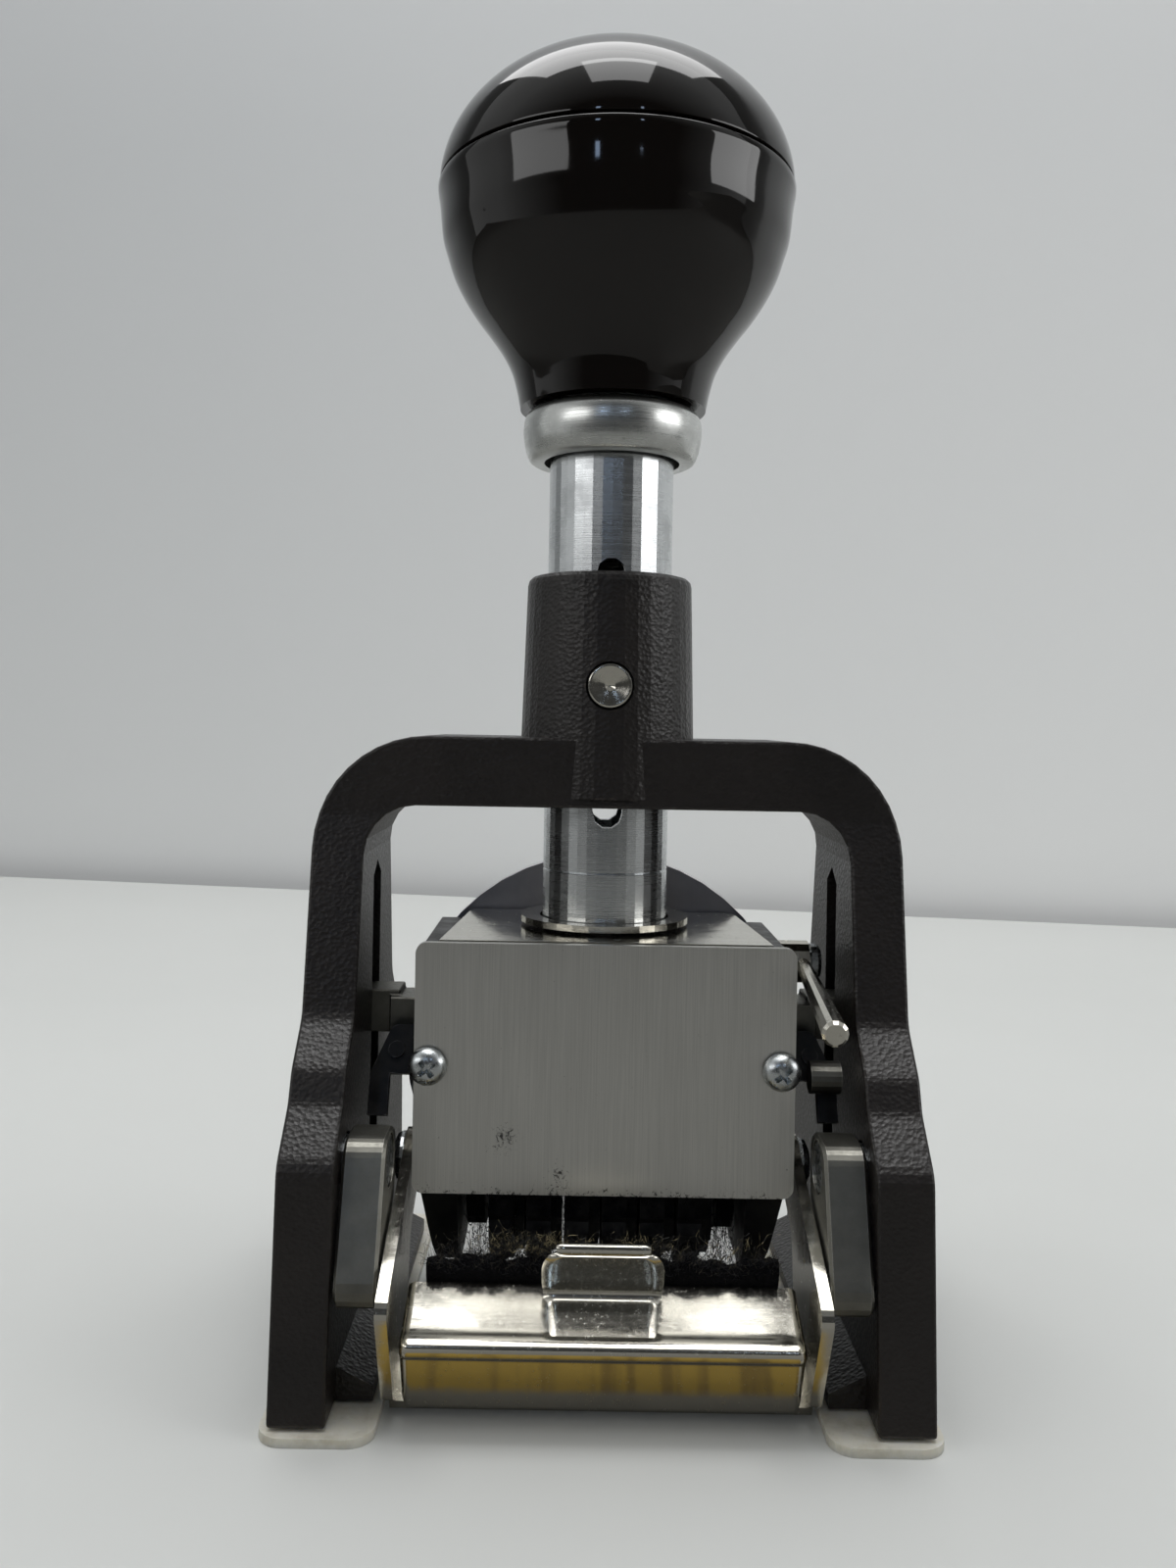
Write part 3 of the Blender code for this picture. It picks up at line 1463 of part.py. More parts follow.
def build_tray(parts, tools, finish, empty):
    tray = plate("pad_tray", [tray_section(0.0, 0.0, 0.0)], 2 * tray_half_width, parts)
    hollow = plate("tray_hollow", [tray_section(tray_wall, tray_floor_thickness, cut_overrun)],
                   2 * (tray_half_width - tray_wall), tools)
    cut(tray, hollow)
    side = tray_half_width - tray_panel_side
    c = tray_panel_corner
    panel = plate("tray_panel", [rounded([
        (-side, tray_front + tray_panel_front, c), (side, tray_front + tray_panel_front, c),
        (side - c, tray_rear - tray_panel_rear, c), (-side + c, tray_rear - tray_panel_rear, c),
    ], small_arc_steps)], 2 * tray_panel_depth, tools, FLAT, (0.0, 0.0, -tray_floor))
    cut(tray, panel)
    root = plate("tab_root_shape", [tab_root_outline()], tab_thickness + tray_wall, tools, FRONT,
                 (0.0, tray_front + (tray_wall - tab_thickness) / 2, 0.0))
    blade = plate("tab_blade_shape", [tab_blade_outline()], tab_thickness, tools,
                  (0.0, 0.0, math.pi), (0.0, tray_front, -tab_bend_drop))
    lip = cylinder("tab_lip_shape", tab_lip_radius, 2 * tab_tip_half_width - tab_corner, tools,
                   TO_RIGHT, (0.0, -tab_tip_forward, -tab_bend_drop), hidden_segments)
    join(tray, root, blade, lip)
    origin_on(tray, (0.0, 0.0, 0.0))
    finished(tray, finish)
    hang(tray, empty)


def build_felt(parts, finish, empty):
    inner = tray_wall + seat_gap
    felt = block("ink_felt", (-felt_half_width, tray_front + inner,
                              -tray_floor + tray_floor_thickness + seat_gap),
                 (felt_half_width, tray_rear - inner, -felt_top), parts)
    bevelled(felt, felt_corner, 1)
    origin_on(felt, (0.0, 0.0, 0.0))
    finished(felt, finish)
    hang(felt, empty)


# Swing levers

def lever_outline():
    c = lever_corner
    return rounded([
        (-lever_top_front, lever_top, c), (-lever_bottom_front, lever_bottom, c),
        (-lever_bottom_back, lever_bottom, c), (-lever_back, lever_back_height, lever_heel_round),
        (-lever_back, lever_top, c),
    ])


def build_levers(parts, tools, finish, steel):
    def one(side, word):
        pivot = (0.0, -lever_pivot_forward, lever_pivot_height)
        width = lever_outer - lever_inner
        middle = side * between(lever_inner, lever_outer)
        lever = plate("swing_lever_" + word, [lever_outline()], width, parts, ACROSS,
                      (middle, 0.0, 0.0))
        bevelled(lever, lever_edge_round, 1, math.radians(60))
        cut(lever, cylinder("lever_hole", lever_pin_radius + hinge_gap, 3 * width, tools,
                            TO_RIGHT, (middle, *pivot[1:])))
        cut(lever, cylinder("link_hole", link_pin_radius + seat_gap, 3 * width, tools,
                            TO_RIGHT, (middle, -link_forward, link_height), screw_segments))
        origin_on(lever, pivot)
        finished(lever, finish)
        near, far = lever_inner + seat_gap / 2, inner_half_width + lever_pin_depth
        finished(cylinder("lever_pin_" + word, lever_pin_radius, far - near, parts, TO_RIGHT,
                          (side * between(near, far), *pivot[1:])), steel)
        finished(cylinder("link_pin_" + word, link_pin_radius, width - seat_gap, parts,
                          TO_RIGHT, (middle, -link_forward, link_height), screw_segments), steel)

    mirrored_sides(one)


def main():
    clear_scene()
    parts = collection(PART_NAME)
    tools = collection("cutters")
    paint, plastic = brown_frame_paint(), black_knob_plastic()
    aluminium, nickel, grey = turned_aluminium(), bright_nickel(), tumbled_steel()
    dark, zinc = black_oxide(), zinc_plate()

    build_frame(parts, tools, paint)
    build_foot_pads(parts, cream_rubber())
    build_lock_pin(parts, nickel)

    build_tube(parts, tools, aluminium)
    build_tube_ends(parts, aluminium, nickel)
    build_return_spring(parts, grey)
    build_collar(parts, aluminium)
    build_knob(parts, plastic, zinc)

    build_cheeks(parts, tools, dark)
    build_casing_top(parts, tools, nickel, dark)
    build_plunger_screw(parts, zinc)
    build_tie_bars(parts, grey)
    build_nameplate(parts, brushed_plate())
    build_plate_screws(parts, tools, zinc)
    build_dial(parts, satin_dial())
    build_pointer(parts, nickel, zinc)
    build_lugs(parts, tools, grey)
    build_brackets(parts, tools, dark)
    build_bracket_stud(parts, grey)
    build_side_lever(parts, tools, nickel, zinc)

    build_wheels(parts, tools, dark)
    build_wheel_shaft(parts, grey)
    build_rocker(parts, tools, dark)
    build_pawl(parts, tools, dark)
    build_detent(parts, tools, grey)

    carrier_axis = axis_empty("carrier_axis", (0.0, -carrier_pivot_forward, carrier_pivot_height),
                              parts, (-carrier_tilt, 0.0, 0.0))
    build_carrier(parts, tools, nickel, carrier_axis)
    build_carrier_studs(parts, zinc)
    build_tray(parts, tools, nickel, carrier_axis)
    build_felt(parts, ink_felt(), carrier_axis)
    build_levers(parts, tools, grey, zinc)


main()
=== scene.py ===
"""The looks of the numbering machine: finishes, fine shapes, type, felt, light and camera."""
import json
import math
import random

import bmesh
import bpy
from mathutils import Matrix, Vector


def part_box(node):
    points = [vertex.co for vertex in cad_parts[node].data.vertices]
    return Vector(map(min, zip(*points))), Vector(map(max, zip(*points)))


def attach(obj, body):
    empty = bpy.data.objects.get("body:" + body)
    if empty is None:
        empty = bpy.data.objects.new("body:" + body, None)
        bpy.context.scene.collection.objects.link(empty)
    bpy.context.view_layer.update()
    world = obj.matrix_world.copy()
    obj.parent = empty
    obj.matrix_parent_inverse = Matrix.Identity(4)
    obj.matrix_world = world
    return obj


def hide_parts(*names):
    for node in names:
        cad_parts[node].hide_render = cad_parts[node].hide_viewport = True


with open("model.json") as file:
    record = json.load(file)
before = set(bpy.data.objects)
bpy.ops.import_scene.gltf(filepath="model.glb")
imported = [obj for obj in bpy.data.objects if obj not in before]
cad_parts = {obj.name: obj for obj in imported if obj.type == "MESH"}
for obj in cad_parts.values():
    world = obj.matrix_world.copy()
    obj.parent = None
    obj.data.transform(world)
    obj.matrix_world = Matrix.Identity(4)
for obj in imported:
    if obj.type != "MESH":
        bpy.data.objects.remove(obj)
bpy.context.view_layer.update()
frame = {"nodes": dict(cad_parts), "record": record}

nodes = frame["nodes"]
mm = 0.001
wheel_count = 6
digit_count = 10
random.seed(11)

# Photograph: picture size, focal length and the place of the view axis, in its pixels
photo_width = 1200
photo_height = 1600
focal_px = 1290
axis_px = (589.0, 737.0)
sensor_mm = 36.0
camera_place = Vector((-3.4, -142.5, 67.0)) * mm
camera_roll = math.radians(1.0)

# Carrier's frame: its pivot, and its turn from the level pad to the photographed place
carrier_pivot = Vector((0.0, -6.2, 20.0)) * mm
carrier_tilt = math.radians(-65.0)
carrier_turn = Matrix.Rotation(carrier_tilt, 4, "X")
carrier_place = Matrix.Translation(carrier_pivot) @ carrier_turn


# Node helpers

class Shader:
    """A Principled material and short names for the nodes that feed it."""

    def __init__(self, name, colour, roughness, metallic=0.0, **values):
        self.material = bpy.data.materials.new(name)
        self.material.use_nodes = True
        self.tree = self.material.node_tree
        self.surface = self.tree.nodes["Principled BSDF"]
        self.set("Base Color", colour)
        self.set("Roughness", roughness)
        self.set("Metallic", metallic)
        for socket, value in values.items():
            self.set(socket.replace("_", " "), value)

    def set(self, socket, value):
        self.feed(value, self.surface.inputs[socket])

    def node(self, kind, **inputs):
        made = self.tree.nodes.new(kind)
        for socket, value in inputs.items():
            self.feed(value, made.inputs[socket.replace("_", " ")])
        return made

    def feed(self, value, socket):
        if isinstance(value, bpy.types.NodeSocket):
            self.tree.links.new(value, socket)
        elif isinstance(value, tuple) and socket.type == "RGBA":
            socket.default_value = (*value, 1.0)
        else:
            socket.default_value = value

    def place(self, scale=(1.0, 1.0, 1.0), turn=(0.0, 0.0, 0.0)):
        point = self.tree.nodes.new("ShaderNodeTexCoord").outputs["Object"]
        mapped = self.node("ShaderNodeMapping", Vector=point, Scale=scale, Rotation=turn)
        return mapped.outputs["Vector"]

    def noise(self, point, scale=1.0, detail=3.0, roughness=0.55, distortion=0.0):
        return self.node("ShaderNodeTexNoise", Vector=point, Scale=scale, Detail=detail,
                         Roughness=roughness, Distortion=distortion).outputs["Fac"]

    def cells(self, point, scale):
        return self.node("ShaderNodeTexVoronoi", Vector=point, Scale=scale).outputs["Distance"]

    def ramp(self, value, low, high, start=0.0, end=1.0):
        made = self.node("ShaderNodeMapRange", Value=value)
        made.inputs["From Min"].default_value = low
        made.inputs["From Max"].default_value = high
        made.inputs["To Min"].default_value = start
        made.inputs["To Max"].default_value = end
        return made.outputs["Result"]

    def maths(self, operation, a, b=0.0):
        made = self.tree.nodes.new("ShaderNodeMath")
        made.operation = operation
        self.feed(a, made.inputs[0])
        self.feed(b, made.inputs[1])
        return made.outputs[0]

    def mix(self, factor, a, b):
        made = self.tree.nodes.new("ShaderNodeMix")
        made.data_type = "RGBA"
        self.feed(factor, made.inputs["Factor"])
        self.feed(a, made.inputs[6])
        self.feed(b, made.inputs[7])
        return made.outputs[2]

    def bump(self, height, strength, distance, normal=None):
        made = self.node("ShaderNodeBump", Height=height, Strength=strength, Distance=distance)
        if normal is not None:
            self.feed(normal, made.inputs["Normal"])
        return made.outputs["Normal"]

    def edges(self, width):
        """0 on flats and up to 1 at sharp edges, from how far a rounded normal turns."""
        rounded = self.node("ShaderNodeBevel", Radius=width)
        rounded.samples = 4
        flat = self.tree.nodes.new("ShaderNodeNewGeometry").outputs["Normal"]
        made = self.tree.nodes.new("ShaderNodeVectorMath")
        made.operation = "DOT_PRODUCT"
        self.feed(rounded.outputs["Normal"], made.inputs[0])
        self.feed(flat, made.inputs[1])
        return self.maths("SUBTRACT", 1.0, made.outputs["Value"])

    def near(self, centre, inner, outer):
        """1 within the inner distance of a point and 0 beyond the outer one."""
        point = self.tree.nodes.new("ShaderNodeTexCoord").outputs["Object"]
        made = self.tree.nodes.new("ShaderNodeVectorMath")
        made.operation = "DISTANCE"
        self.feed(point, made.inputs[0])
        made.inputs[1].default_value = centre
        return self.ramp(made.outputs["Value"], inner, outer, 1.0, 0.0)

    def along(self, axis):
        point = self.tree.nodes.new("ShaderNodeTexCoord").outputs["Object"]
        return self.node("ShaderNodeSeparateXYZ", Vector=point).outputs[axis]

    def product(self, *values):
        total = values[0]
        for value in values[1:]:
            total = self.maths("MULTIPLY", total, value)
        return total


# Finishes

def wrinkle_paint():
    """Dark brown wrinkle paint on the casting, glossy on its grain and worn pale on its edges."""
    s = Shader("wrinkle_paint", (0.0100, 0.0078, 0.0070), 0.36)
    point = s.place()
    grain = s.noise(point, 2500.0, 3.0, 0.55, 0.5)
    cells = s.cells(s.place((1.0, 1.0, 1.2)), 2000.0)
    tone = s.noise(point, 90.0, 2.0)
    paint = s.mix(s.ramp(tone, 0.35, 0.65), (0.0085, 0.0064, 0.0056), (0.0135, 0.0102, 0.0088))
    rub = s.maths("MULTIPLY", s.ramp(s.edges(0.6 * mm), 0.10, 0.34),
                  s.ramp(s.noise(point, 620.0, 5.0, 0.7), 0.56, 0.68, 0.0, 0.8))
    s.set("Base Color", s.mix(rub, paint, (0.12, 0.095, 0.08)))
    s.set("Roughness", s.ramp(grain, 0.3, 0.7, 0.30, 0.44))
    first = s.bump(cells, 0.60, 0.10 * mm)
    s.set("Normal", s.bump(grain, 0.55, 0.08 * mm, first))
    return s.material


def knob_gloss():
    """Moulded gloss plastic, nearly black, with hair-fine handling marks."""
    s = Shader("knob_gloss", (0.0036, 0.0024, 0.0018), 0.045, IOR=1.52)
    point = s.place()
    smear = s.noise(point, 130.0, 3.0)
    s.set("Roughness", s.ramp(smear, 0.40, 0.72, 0.030, 0.085))
    specks = s.noise(point, 5200.0, 2.0)
    s.set("Base Color", s.mix(s.ramp(specks, 0.74, 0.80), (0.0036, 0.0024, 0.0018),
                                (0.022, 0.019, 0.017)))
    s.set("Normal", s.bump(s.noise(point, 260.0, 2.0), 0.02, 0.05 * mm))
    return s.material


def turned_metal(name, colour, roughness):
    """Metal from the lathe: fine rings along its height, soft stains and a few long scratches."""
    s = Shader(name, colour, roughness, 1.0)
    rings = s.noise(s.place((30.0, 30.0, 9000.0)), 1.0, 3.0)
    streaks = s.noise(s.place((2600.0, 2600.0, 60.0)), 1.0, 4.0, 0.65)
    stain = s.noise(s.place(), 240.0, 4.0, 0.6)
    dull = s.mix(s.ramp(stain, 0.45, 0.75), colour, tuple(c * 0.72 for c in colour))
    s.set("Base Color", s.mix(s.ramp(streaks, 0.60, 0.78), dull, tuple(c * 0.55 for c in colour)))
    s.set("Roughness", s.maths("ADD", s.ramp(rings, 0.3, 0.7, roughness - 0.06, roughness + 0.06),
                                 s.ramp(stain, 0.45, 0.80, 0.0, 0.14)))
    first = s.bump(rings, 0.16, 0.03 * mm)
    s.set("Normal", s.bump(streaks, 0.14, 0.03 * mm, first))
    return s.material


def nickel(name, colour, roughness, stained=0.4):
    """Bright plated sheet with rolling streaks, pits and dull stains."""
    s = Shader(name, colour, roughness, 1.0)
    point = s.place()
    roll = s.noise(s.place((50.0, 900.0, 900.0)), 1.0, 5.0, 0.65)
    pits = s.noise(point, 1900.0, 4.0, 0.7)
    stain = s.noise(point, 150.0, 5.0, 0.65)
    dull = tuple(c * 0.62 for c in colour)
    s.set("Base Color", s.mix(s.ramp(stain, 0.50, 0.85, 0.0, stained), colour, dull))
    s.set("Roughness", s.maths("ADD", s.ramp(roll, 0.3, 0.75, roughness - 0.04, roughness + 0.08),
                                 s.ramp(pits, 0.52, 0.72, 0.0, 0.16)))
    waves = s.bump(s.noise(point, 190.0, 2.0), 0.10, 0.6 * mm)
    first = s.bump(roll, 0.10, 0.05 * mm, waves)
    s.set("Normal", s.bump(pits, 0.14, 0.03 * mm, first))
    return s.material


def tumbled_steel():
    s = Shader("tumbled_steel", (0.18, 0.175, 0.155), 0.42, 1.0)
    point = s.place()
    grain = s.noise(point, 3800.0, 3.0, 0.6)
    patch = s.noise(point, 320.0, 4.0, 0.6)
    bare = s.ramp(s.edges(0.25 * mm), 0.05, 0.30)
    colour = s.mix(s.ramp(patch, 0.3, 0.7), (0.19, 0.185, 0.165), (0.26, 0.255, 0.225))
    s.set("Base Color", s.mix(bare, colour, (0.66, 0.64, 0.58)))
    s.set("Roughness", s.ramp(grain, 0.3, 0.7, 0.34, 0.50))
    s.set("Normal", s.bump(grain, 0.22, 0.02 * mm))
    return s.material


def black_oxide():
    s = Shader("black_oxide", (0.020, 0.020, 0.021), 0.40, 0.55)
    point = s.place()
    patch = s.noise(point, 500.0, 4.0, 0.6)
    bare = s.maths("MULTIPLY", s.ramp(s.edges(0.25 * mm), 0.08, 0.35),
                   s.ramp(s.noise(point, 700.0, 3.0), 0.46, 0.62))
    colour = s.mix(s.ramp(patch, 0.4, 0.7), (0.016, 0.016, 0.017), (0.034, 0.033, 0.033))
    s.set("Base Color", s.mix(bare, colour, (0.24, 0.23, 0.22)))
    s.set("Roughness", s.ramp(patch, 0.3, 0.7, 0.32, 0.52))
    s.set("Normal", s.bump(s.noise(point, 4200.0, 3.0), 0.18, 0.02 * mm))
    return s.material


def zinc():
    s = Shader("zinc", (0.66, 0.69, 0.70), 0.26, 1.0)
    point = s.place()
    spangle = s.noise(point, 1500.0, 4.0, 0.6)
    dirt = s.noise(point, 900.0, 3.0)
    s.set("Base Color", s.mix(s.ramp(dirt, 0.55, 0.75), (0.62, 0.65, 0.66), (0.36, 0.37, 0.37)))
    s.set("Roughness", s.ramp(spangle, 0.3, 0.7, 0.20, 0.36))
    s.set("Normal", s.bump(spangle, 0.05, 0.03 * mm))
    return s.material


def brushed_plate():
    """Bare aluminium sheet brushed up and down, with old ink smudges low on the left."""
    s = Shader("brushed_plate", (0.67, 0.66, 0.63), 0.40, 1.0, Anisotropic=0.45)
    point = s.place()
    fine = s.noise(s.place((9500.0, 600.0, 110.0)), 1.0, 2.0, 0.6)
    broad = s.noise(s.place((260.0, 60.0, 60.0)), 1.0, 2.0)
    metal = s.mix(s.ramp(fine, 0.30, 0.70), (0.610, 0.605, 0.575), (0.730, 0.720, 0.685))
    metal = s.mix(s.ramp(broad, 0.35, 0.70, 0.0, 0.35), metal, (0.585, 0.575, 0.545))
    blot = s.noise(point, 1300.0, 7.0, 0.85, 1.2)
    low = s.ramp(s.along("Z"), 18.8 * mm, 20.2 * mm, 0.13, 0.0)
    patch = s.maths("MAXIMUM", s.near((-10.0 * mm, -13.8 * mm, 24.4 * mm), 0.4 * mm, 2.6 * mm),
                    s.near((-4.6 * mm, -13.8 * mm, 20.8 * mm), 0.3 * mm, 2.0 * mm))
    cover = s.maths("ADD", s.maths("MULTIPLY", patch, 0.150), low)
    smudge = s.ramp(s.maths("ADD", blot, cover), 0.660, 0.680, 0.0, 0.9)
    specks = s.ramp(s.noise(point, 2600.0, 2.0), 0.76, 0.80)
    s.set("Base Color", s.mix(s.maths("MAXIMUM", smudge, specks), metal, (0.030, 0.028, 0.028)))
    s.set("Roughness", s.ramp(fine, 0.3, 0.7, 0.36, 0.44))
    s.set("Normal", s.bump(fine, 0.10, 0.02 * mm))
    return s.material


def satin_dial():
    s = Shader("satin_dial", (0.19, 0.185, 0.20), 0.36, 1.0)
    point = s.place((3500.0, 3500.0, 90.0))
    fine = s.noise(point, 1.0, 4.0, 0.65)
    stain = s.noise(s.place(), 170.0, 4.0)
    s.set("Base Color", s.mix(s.ramp(stain, 0.35, 0.7), (0.44, 0.425, 0.455), (0.56, 0.545, 0.57)))
    s.set("Roughness", s.ramp(fine, 0.3, 0.7, 0.40, 0.52))
    s.set("Normal", s.bump(fine, 0.12, 0.02 * mm))
    return s.material


def inked_felt():
    s = Shader("inked_felt", (0.008, 0.0075, 0.011), 0.95)
    point = s.place()
    tangle = s.noise(point, 2200.0, 6.0, 0.75, 1.5)
    s.set("Base Color", s.mix(s.ramp(tangle, 0.45, 0.75), (0.0030, 0.0030, 0.0042),
                                (0.0130, 0.0120, 0.0140)))
    s.set("Normal", s.bump(tangle, 1.0, 0.30 * mm))
    s.set("Specular IOR Level", 0.15)
    return s.material


def felt_hair(name="felt_hair", dark=(0.006, 0.006, 0.008), light=(0.070, 0.060, 0.042)):
    """Loose fibres: most inked black, some still tan."""
    s = Shader(name, dark, 0.75)
    tone = s.noise(s.place(), 1400.0, 2.0)
    s.set("Base Color", s.mix(s.ramp(tone, 0.48, 0.66), dark, light))
    s.set("Roughness", s.ramp(tone, 0.3, 0.7, 0.6, 0.85))
    return s.material


def foot_rubber():
    s = Shader("foot_rubber", (0.60, 0.56, 0.45), 0.50, Subsurface_Weight=0.35, Subsurface_Scale=0.002)
    s.set("Subsurface Radius", (1.0, 0.8, 0.5))
    point = s.place()
    grime = s.noise(point, 300.0, 5.0, 0.65)
    s.set("Base Color", s.mix(s.ramp(grime, 0.45, 0.75), (0.63, 0.61, 0.54), (0.42, 0.39, 0.31)))
    s.set("Roughness", s.ramp(grime, 0.3, 0.7, 0.42, 0.62))
    s.set("Normal", s.bump(grime, 0.15, 0.05 * mm))
    return s.material


def type_ink():
    """Number wheels: black steel, wet with old ink."""
    s = Shader("type_ink", (0.014, 0.013, 0.015), 0.34, 0.4)
    point = s.place()
    wet = s.noise(point, 700.0, 5.0, 0.65)
    s.set("Base Color", s.mix(s.ramp(wet, 0.4, 0.7), (0.010, 0.010, 0.012), (0.040, 0.038, 0.038)))
    s.set("Roughness", s.ramp(wet, 0.3, 0.7, 0.22, 0.50))
    s.set("Normal", s.bump(wet, 0.35, 0.05 * mm))
    return s.material


# Shape helpers

def dress(thing, material, body, slot, *replaced):
    """Gives a new piece its finish and its body, and hides the nodes that it stands for."""
    thing.data.materials.clear()
    thing.data.materials.append(material)
    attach(thing, body)
    if replaced:
        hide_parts(*replaced)
    return thing


def mesh_object(name, build):
    work = bmesh.new()
    build(work)
    mesh = bpy.data.meshes.new(name)
    work.to_mesh(mesh)
    work.free()
    thing = bpy.data.objects.new(name, mesh)
    bpy.context.scene.collection.objects.link(thing)
    return thing


def soften(thing, degrees):
    """Smooth shading, broken at edges sharper than the angle."""
    thing.data.shade_smooth()
    thing.data.set_sharp_from_angle(angle=math.radians(degrees))


def smooth_line(points, steps=6):
    """A Catmull-Rom line through the points."""
    line = []
    for i in range(len(points) - 1):
        a = Vector(points[max(i - 1, 0)])
        b = Vector(points[i])
        c = Vector(points[i + 1])
        d = Vector(points[min(i + 2, len(points) - 1)])
        for k in range(steps):
            t = k / steps
            line.append(0.5 * ((2 * b) + (c - a) * t + (2 * a - 5 * b + 4 * c - d) * t * t
                               + (3 * b - a - 3 * c + d) * t ** 3))
    line.append(Vector(points[-1]))
    return line


def lathe(name, profile, segments=128):
    """A turned piece about Z from (radius, height) points."""
    def build(work):
        rings = []
        for radius, z in profile:
            if radius < 1e-7:
                rings.append([work.verts.new((0.0, 0.0, z))])
                continue
            rings.append([work.verts.new((radius * math.cos(2 * math.pi * k / segments),
                                          radius * math.sin(2 * math.pi * k / segments), z))
                          for k in range(segments)])
        for a, b in zip(rings, rings[1:]):
            for k in range(segments):
                n = (k + 1) % segments
                corners = [a[k % len(a)], b[k % len(b)], b[n % len(b)], a[n % len(a)]]
                unique = list(dict.fromkeys(corners))
                if len(unique) > 2:
                    work.faces.new(unique)
    thing = mesh_object(name, build)
    soften(thing, 40)
    return thing


# Knob

knob_low, knob_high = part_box("knob_body")
cap_low, cap_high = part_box("knob_cap")


def build_knob(finish):
    """The knob's pear and its domed cap, with a fine rounded seam between them."""
    radius = knob_high.x
    neck, seam = knob_low.z, knob_high.z
    rise = seam - neck
    shares = [(0.520, 0.0), (0.528, 0.03), (0.541, 0.083), (0.572, 0.172), (0.625, 0.258),
              (0.698, 0.345), (0.782, 0.435), (0.850, 0.520), (0.905, 0.608), (0.942, 0.698),
              (0.969, 0.777), (0.985, 0.900), (0.997, 0.965)]
    pear = [(radius * r, neck + rise * z) for r, z in shares]
    lip = 0.25 * mm
    outside = [(v.x, v.y) for v in smooth_line(pear)]
    top = [(radius, seam - lip), (radius - 0.1 * mm, seam - lip * 0.3), (radius - lip, seam),
           (radius - 2.8 * mm, seam)]
    neck_in = [(7.3 * mm, neck + 0.4 * mm), (7.5 * mm, neck), (10.0 * mm, neck)]
    body = lathe("knob_pear", neck_in + outside + top)
    dress(body, finish, "plunger", "knob_plastic", "knob_body")

    height = cap_high.z - seam
    wide = radius - 0.15 * mm
    steps = 28
    dome = [(wide * math.cos(math.pi / 2 * k / steps),
             seam + height * math.sin(math.pi / 2 * k / steps)) for k in range(1, steps)]
    base = seam + 0.3 * mm
    rim = [(wide - 3.0 * mm, base), (wide - lip, base), (wide - 0.06 * mm, base + lip * 0.5)]
    dome = [p for p in dome if p[1] > base + lip]
    cap = lathe("knob_dome", rim + dome + [(0.0, cap_high.z)])
    dress(cap, finish, "plunger", "knob_plastic", "knob_cap")


# Plunger tube's collar

def build_collar(finish):
    low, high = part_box("collar")
    radius = high.x
    shares = [(0.760, 0.00), (0.890, 0.00), (0.930, 0.05), (0.962, 0.18), (0.985, 0.34),
              (1.000, 0.56), (0.992, 0.78), (0.962, 0.92), (0.905, 1.00), (0.760, 1.00)]
    rise = high.z - low.z
    profile = [(radius * r, low.z + rise * z) for r, z in shares]
    line = [profile[0]] + [(v.x, v.y) for v in smooth_line(profile[1:-1])] + [profile[-1]]
    dress(lathe("collar_ring", line), finish, "plunger", "turned_aluminium", "collar")


# Screw heads and lock pin

def build_screw_head(name, node, finish):
    """A domed head whose cross recess is pressed into a round grid."""
    low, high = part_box(node)
    radius = (high.x - low.x) / 2
    centre = Vector(((low.x + high.x) / 2, 0.0, (low.z + high.z) / 2))
    rise, rings, segments = 1.3 * mm, 44, 120
    half_width, half_length, depth = 0.27 * mm, 0.98 * mm, 0.95 * mm
    turn = math.radians(38)

    def recess(x, z):
        a = abs(x * math.cos(turn) + z * math.sin(turn))
        b = abs(z * math.cos(turn) - x * math.sin(turn))
        arm = max(min(half_width - a, half_length - b), min(half_width - b, half_length - a))
        arm = max(arm, 0.55 * mm - (a + b))
        return depth * min(max(arm / (0.10 * mm), 0.0), 1.0)

    def build(work):
        loops = []
        for i in range(rings + 1):
            r = radius * i / rings
            loop = []
            for k in range(1 if i == 0 else segments):
                x = r * math.cos(2 * math.pi * k / segments)
                z = r * math.sin(2 * math.pi * k / segments)
                dome = rise * math.sqrt(max(0.0, 1.0 - 0.97 * (r / radius) ** 2.6))
                loop.append(work.verts.new((centre.x + x, low.y + rise - dome + recess(x, z),
                                            centre.z + z)))
            loops.append(loop)
        loops.append([work.verts.new((v.co.x, low.y + rise, v.co.z)) for v in loops[-1]])
        for a, b in zip(loops, loops[1:]):
            for k in range(segments):
                n = (k + 1) % segments
                corners = [a[k % len(a)], b[k], b[n], a[n % len(a)]]
                work.faces.new(list(dict.fromkeys(corners)))
        work.faces.new(loops[-1])
        bmesh.ops.recalc_face_normals(work, faces=work.faces)

    head = mesh_object(name, build)
    soften(head, 38)
    dress(head, finish, "plunger", "zinc_plate", node)


def build_lock_pin(finish):
    """The pin's dished head with its centre dimple, on a smooth shank."""
    low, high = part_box("lock_pin")
    head, shank, length = (high.x - low.x) / 2, 1.25 * mm, high.y - low.y
    profile = [(0.0, -0.62 * mm), (0.16 * mm, -0.58 * mm), (0.50 * mm, -0.34 * mm),
               (0.62 * mm, -0.30 * mm), (head - 0.42 * mm, -0.06 * mm), (head - 0.30 * mm, -0.01 * mm),
               (head - 0.22 * mm, 0.0), (head - 0.06 * mm, -0.07 * mm), (head, -0.24 * mm),
               (head, -1.6 * mm), (shank, -1.6 * mm), (shank, -length), (0.0, -length)]
    pin = lathe("lock_pin_turned", profile)
    forward = Matrix.Rotation(math.pi / 2, 4, "X")
    pin.data.transform(Matrix.Translation((0.0, low.y, (low.z + high.z) / 2)) @ forward)
    dress(pin, finish, "lock_pin", "bright_nickel", "lock_pin")


# Type on the number wheels

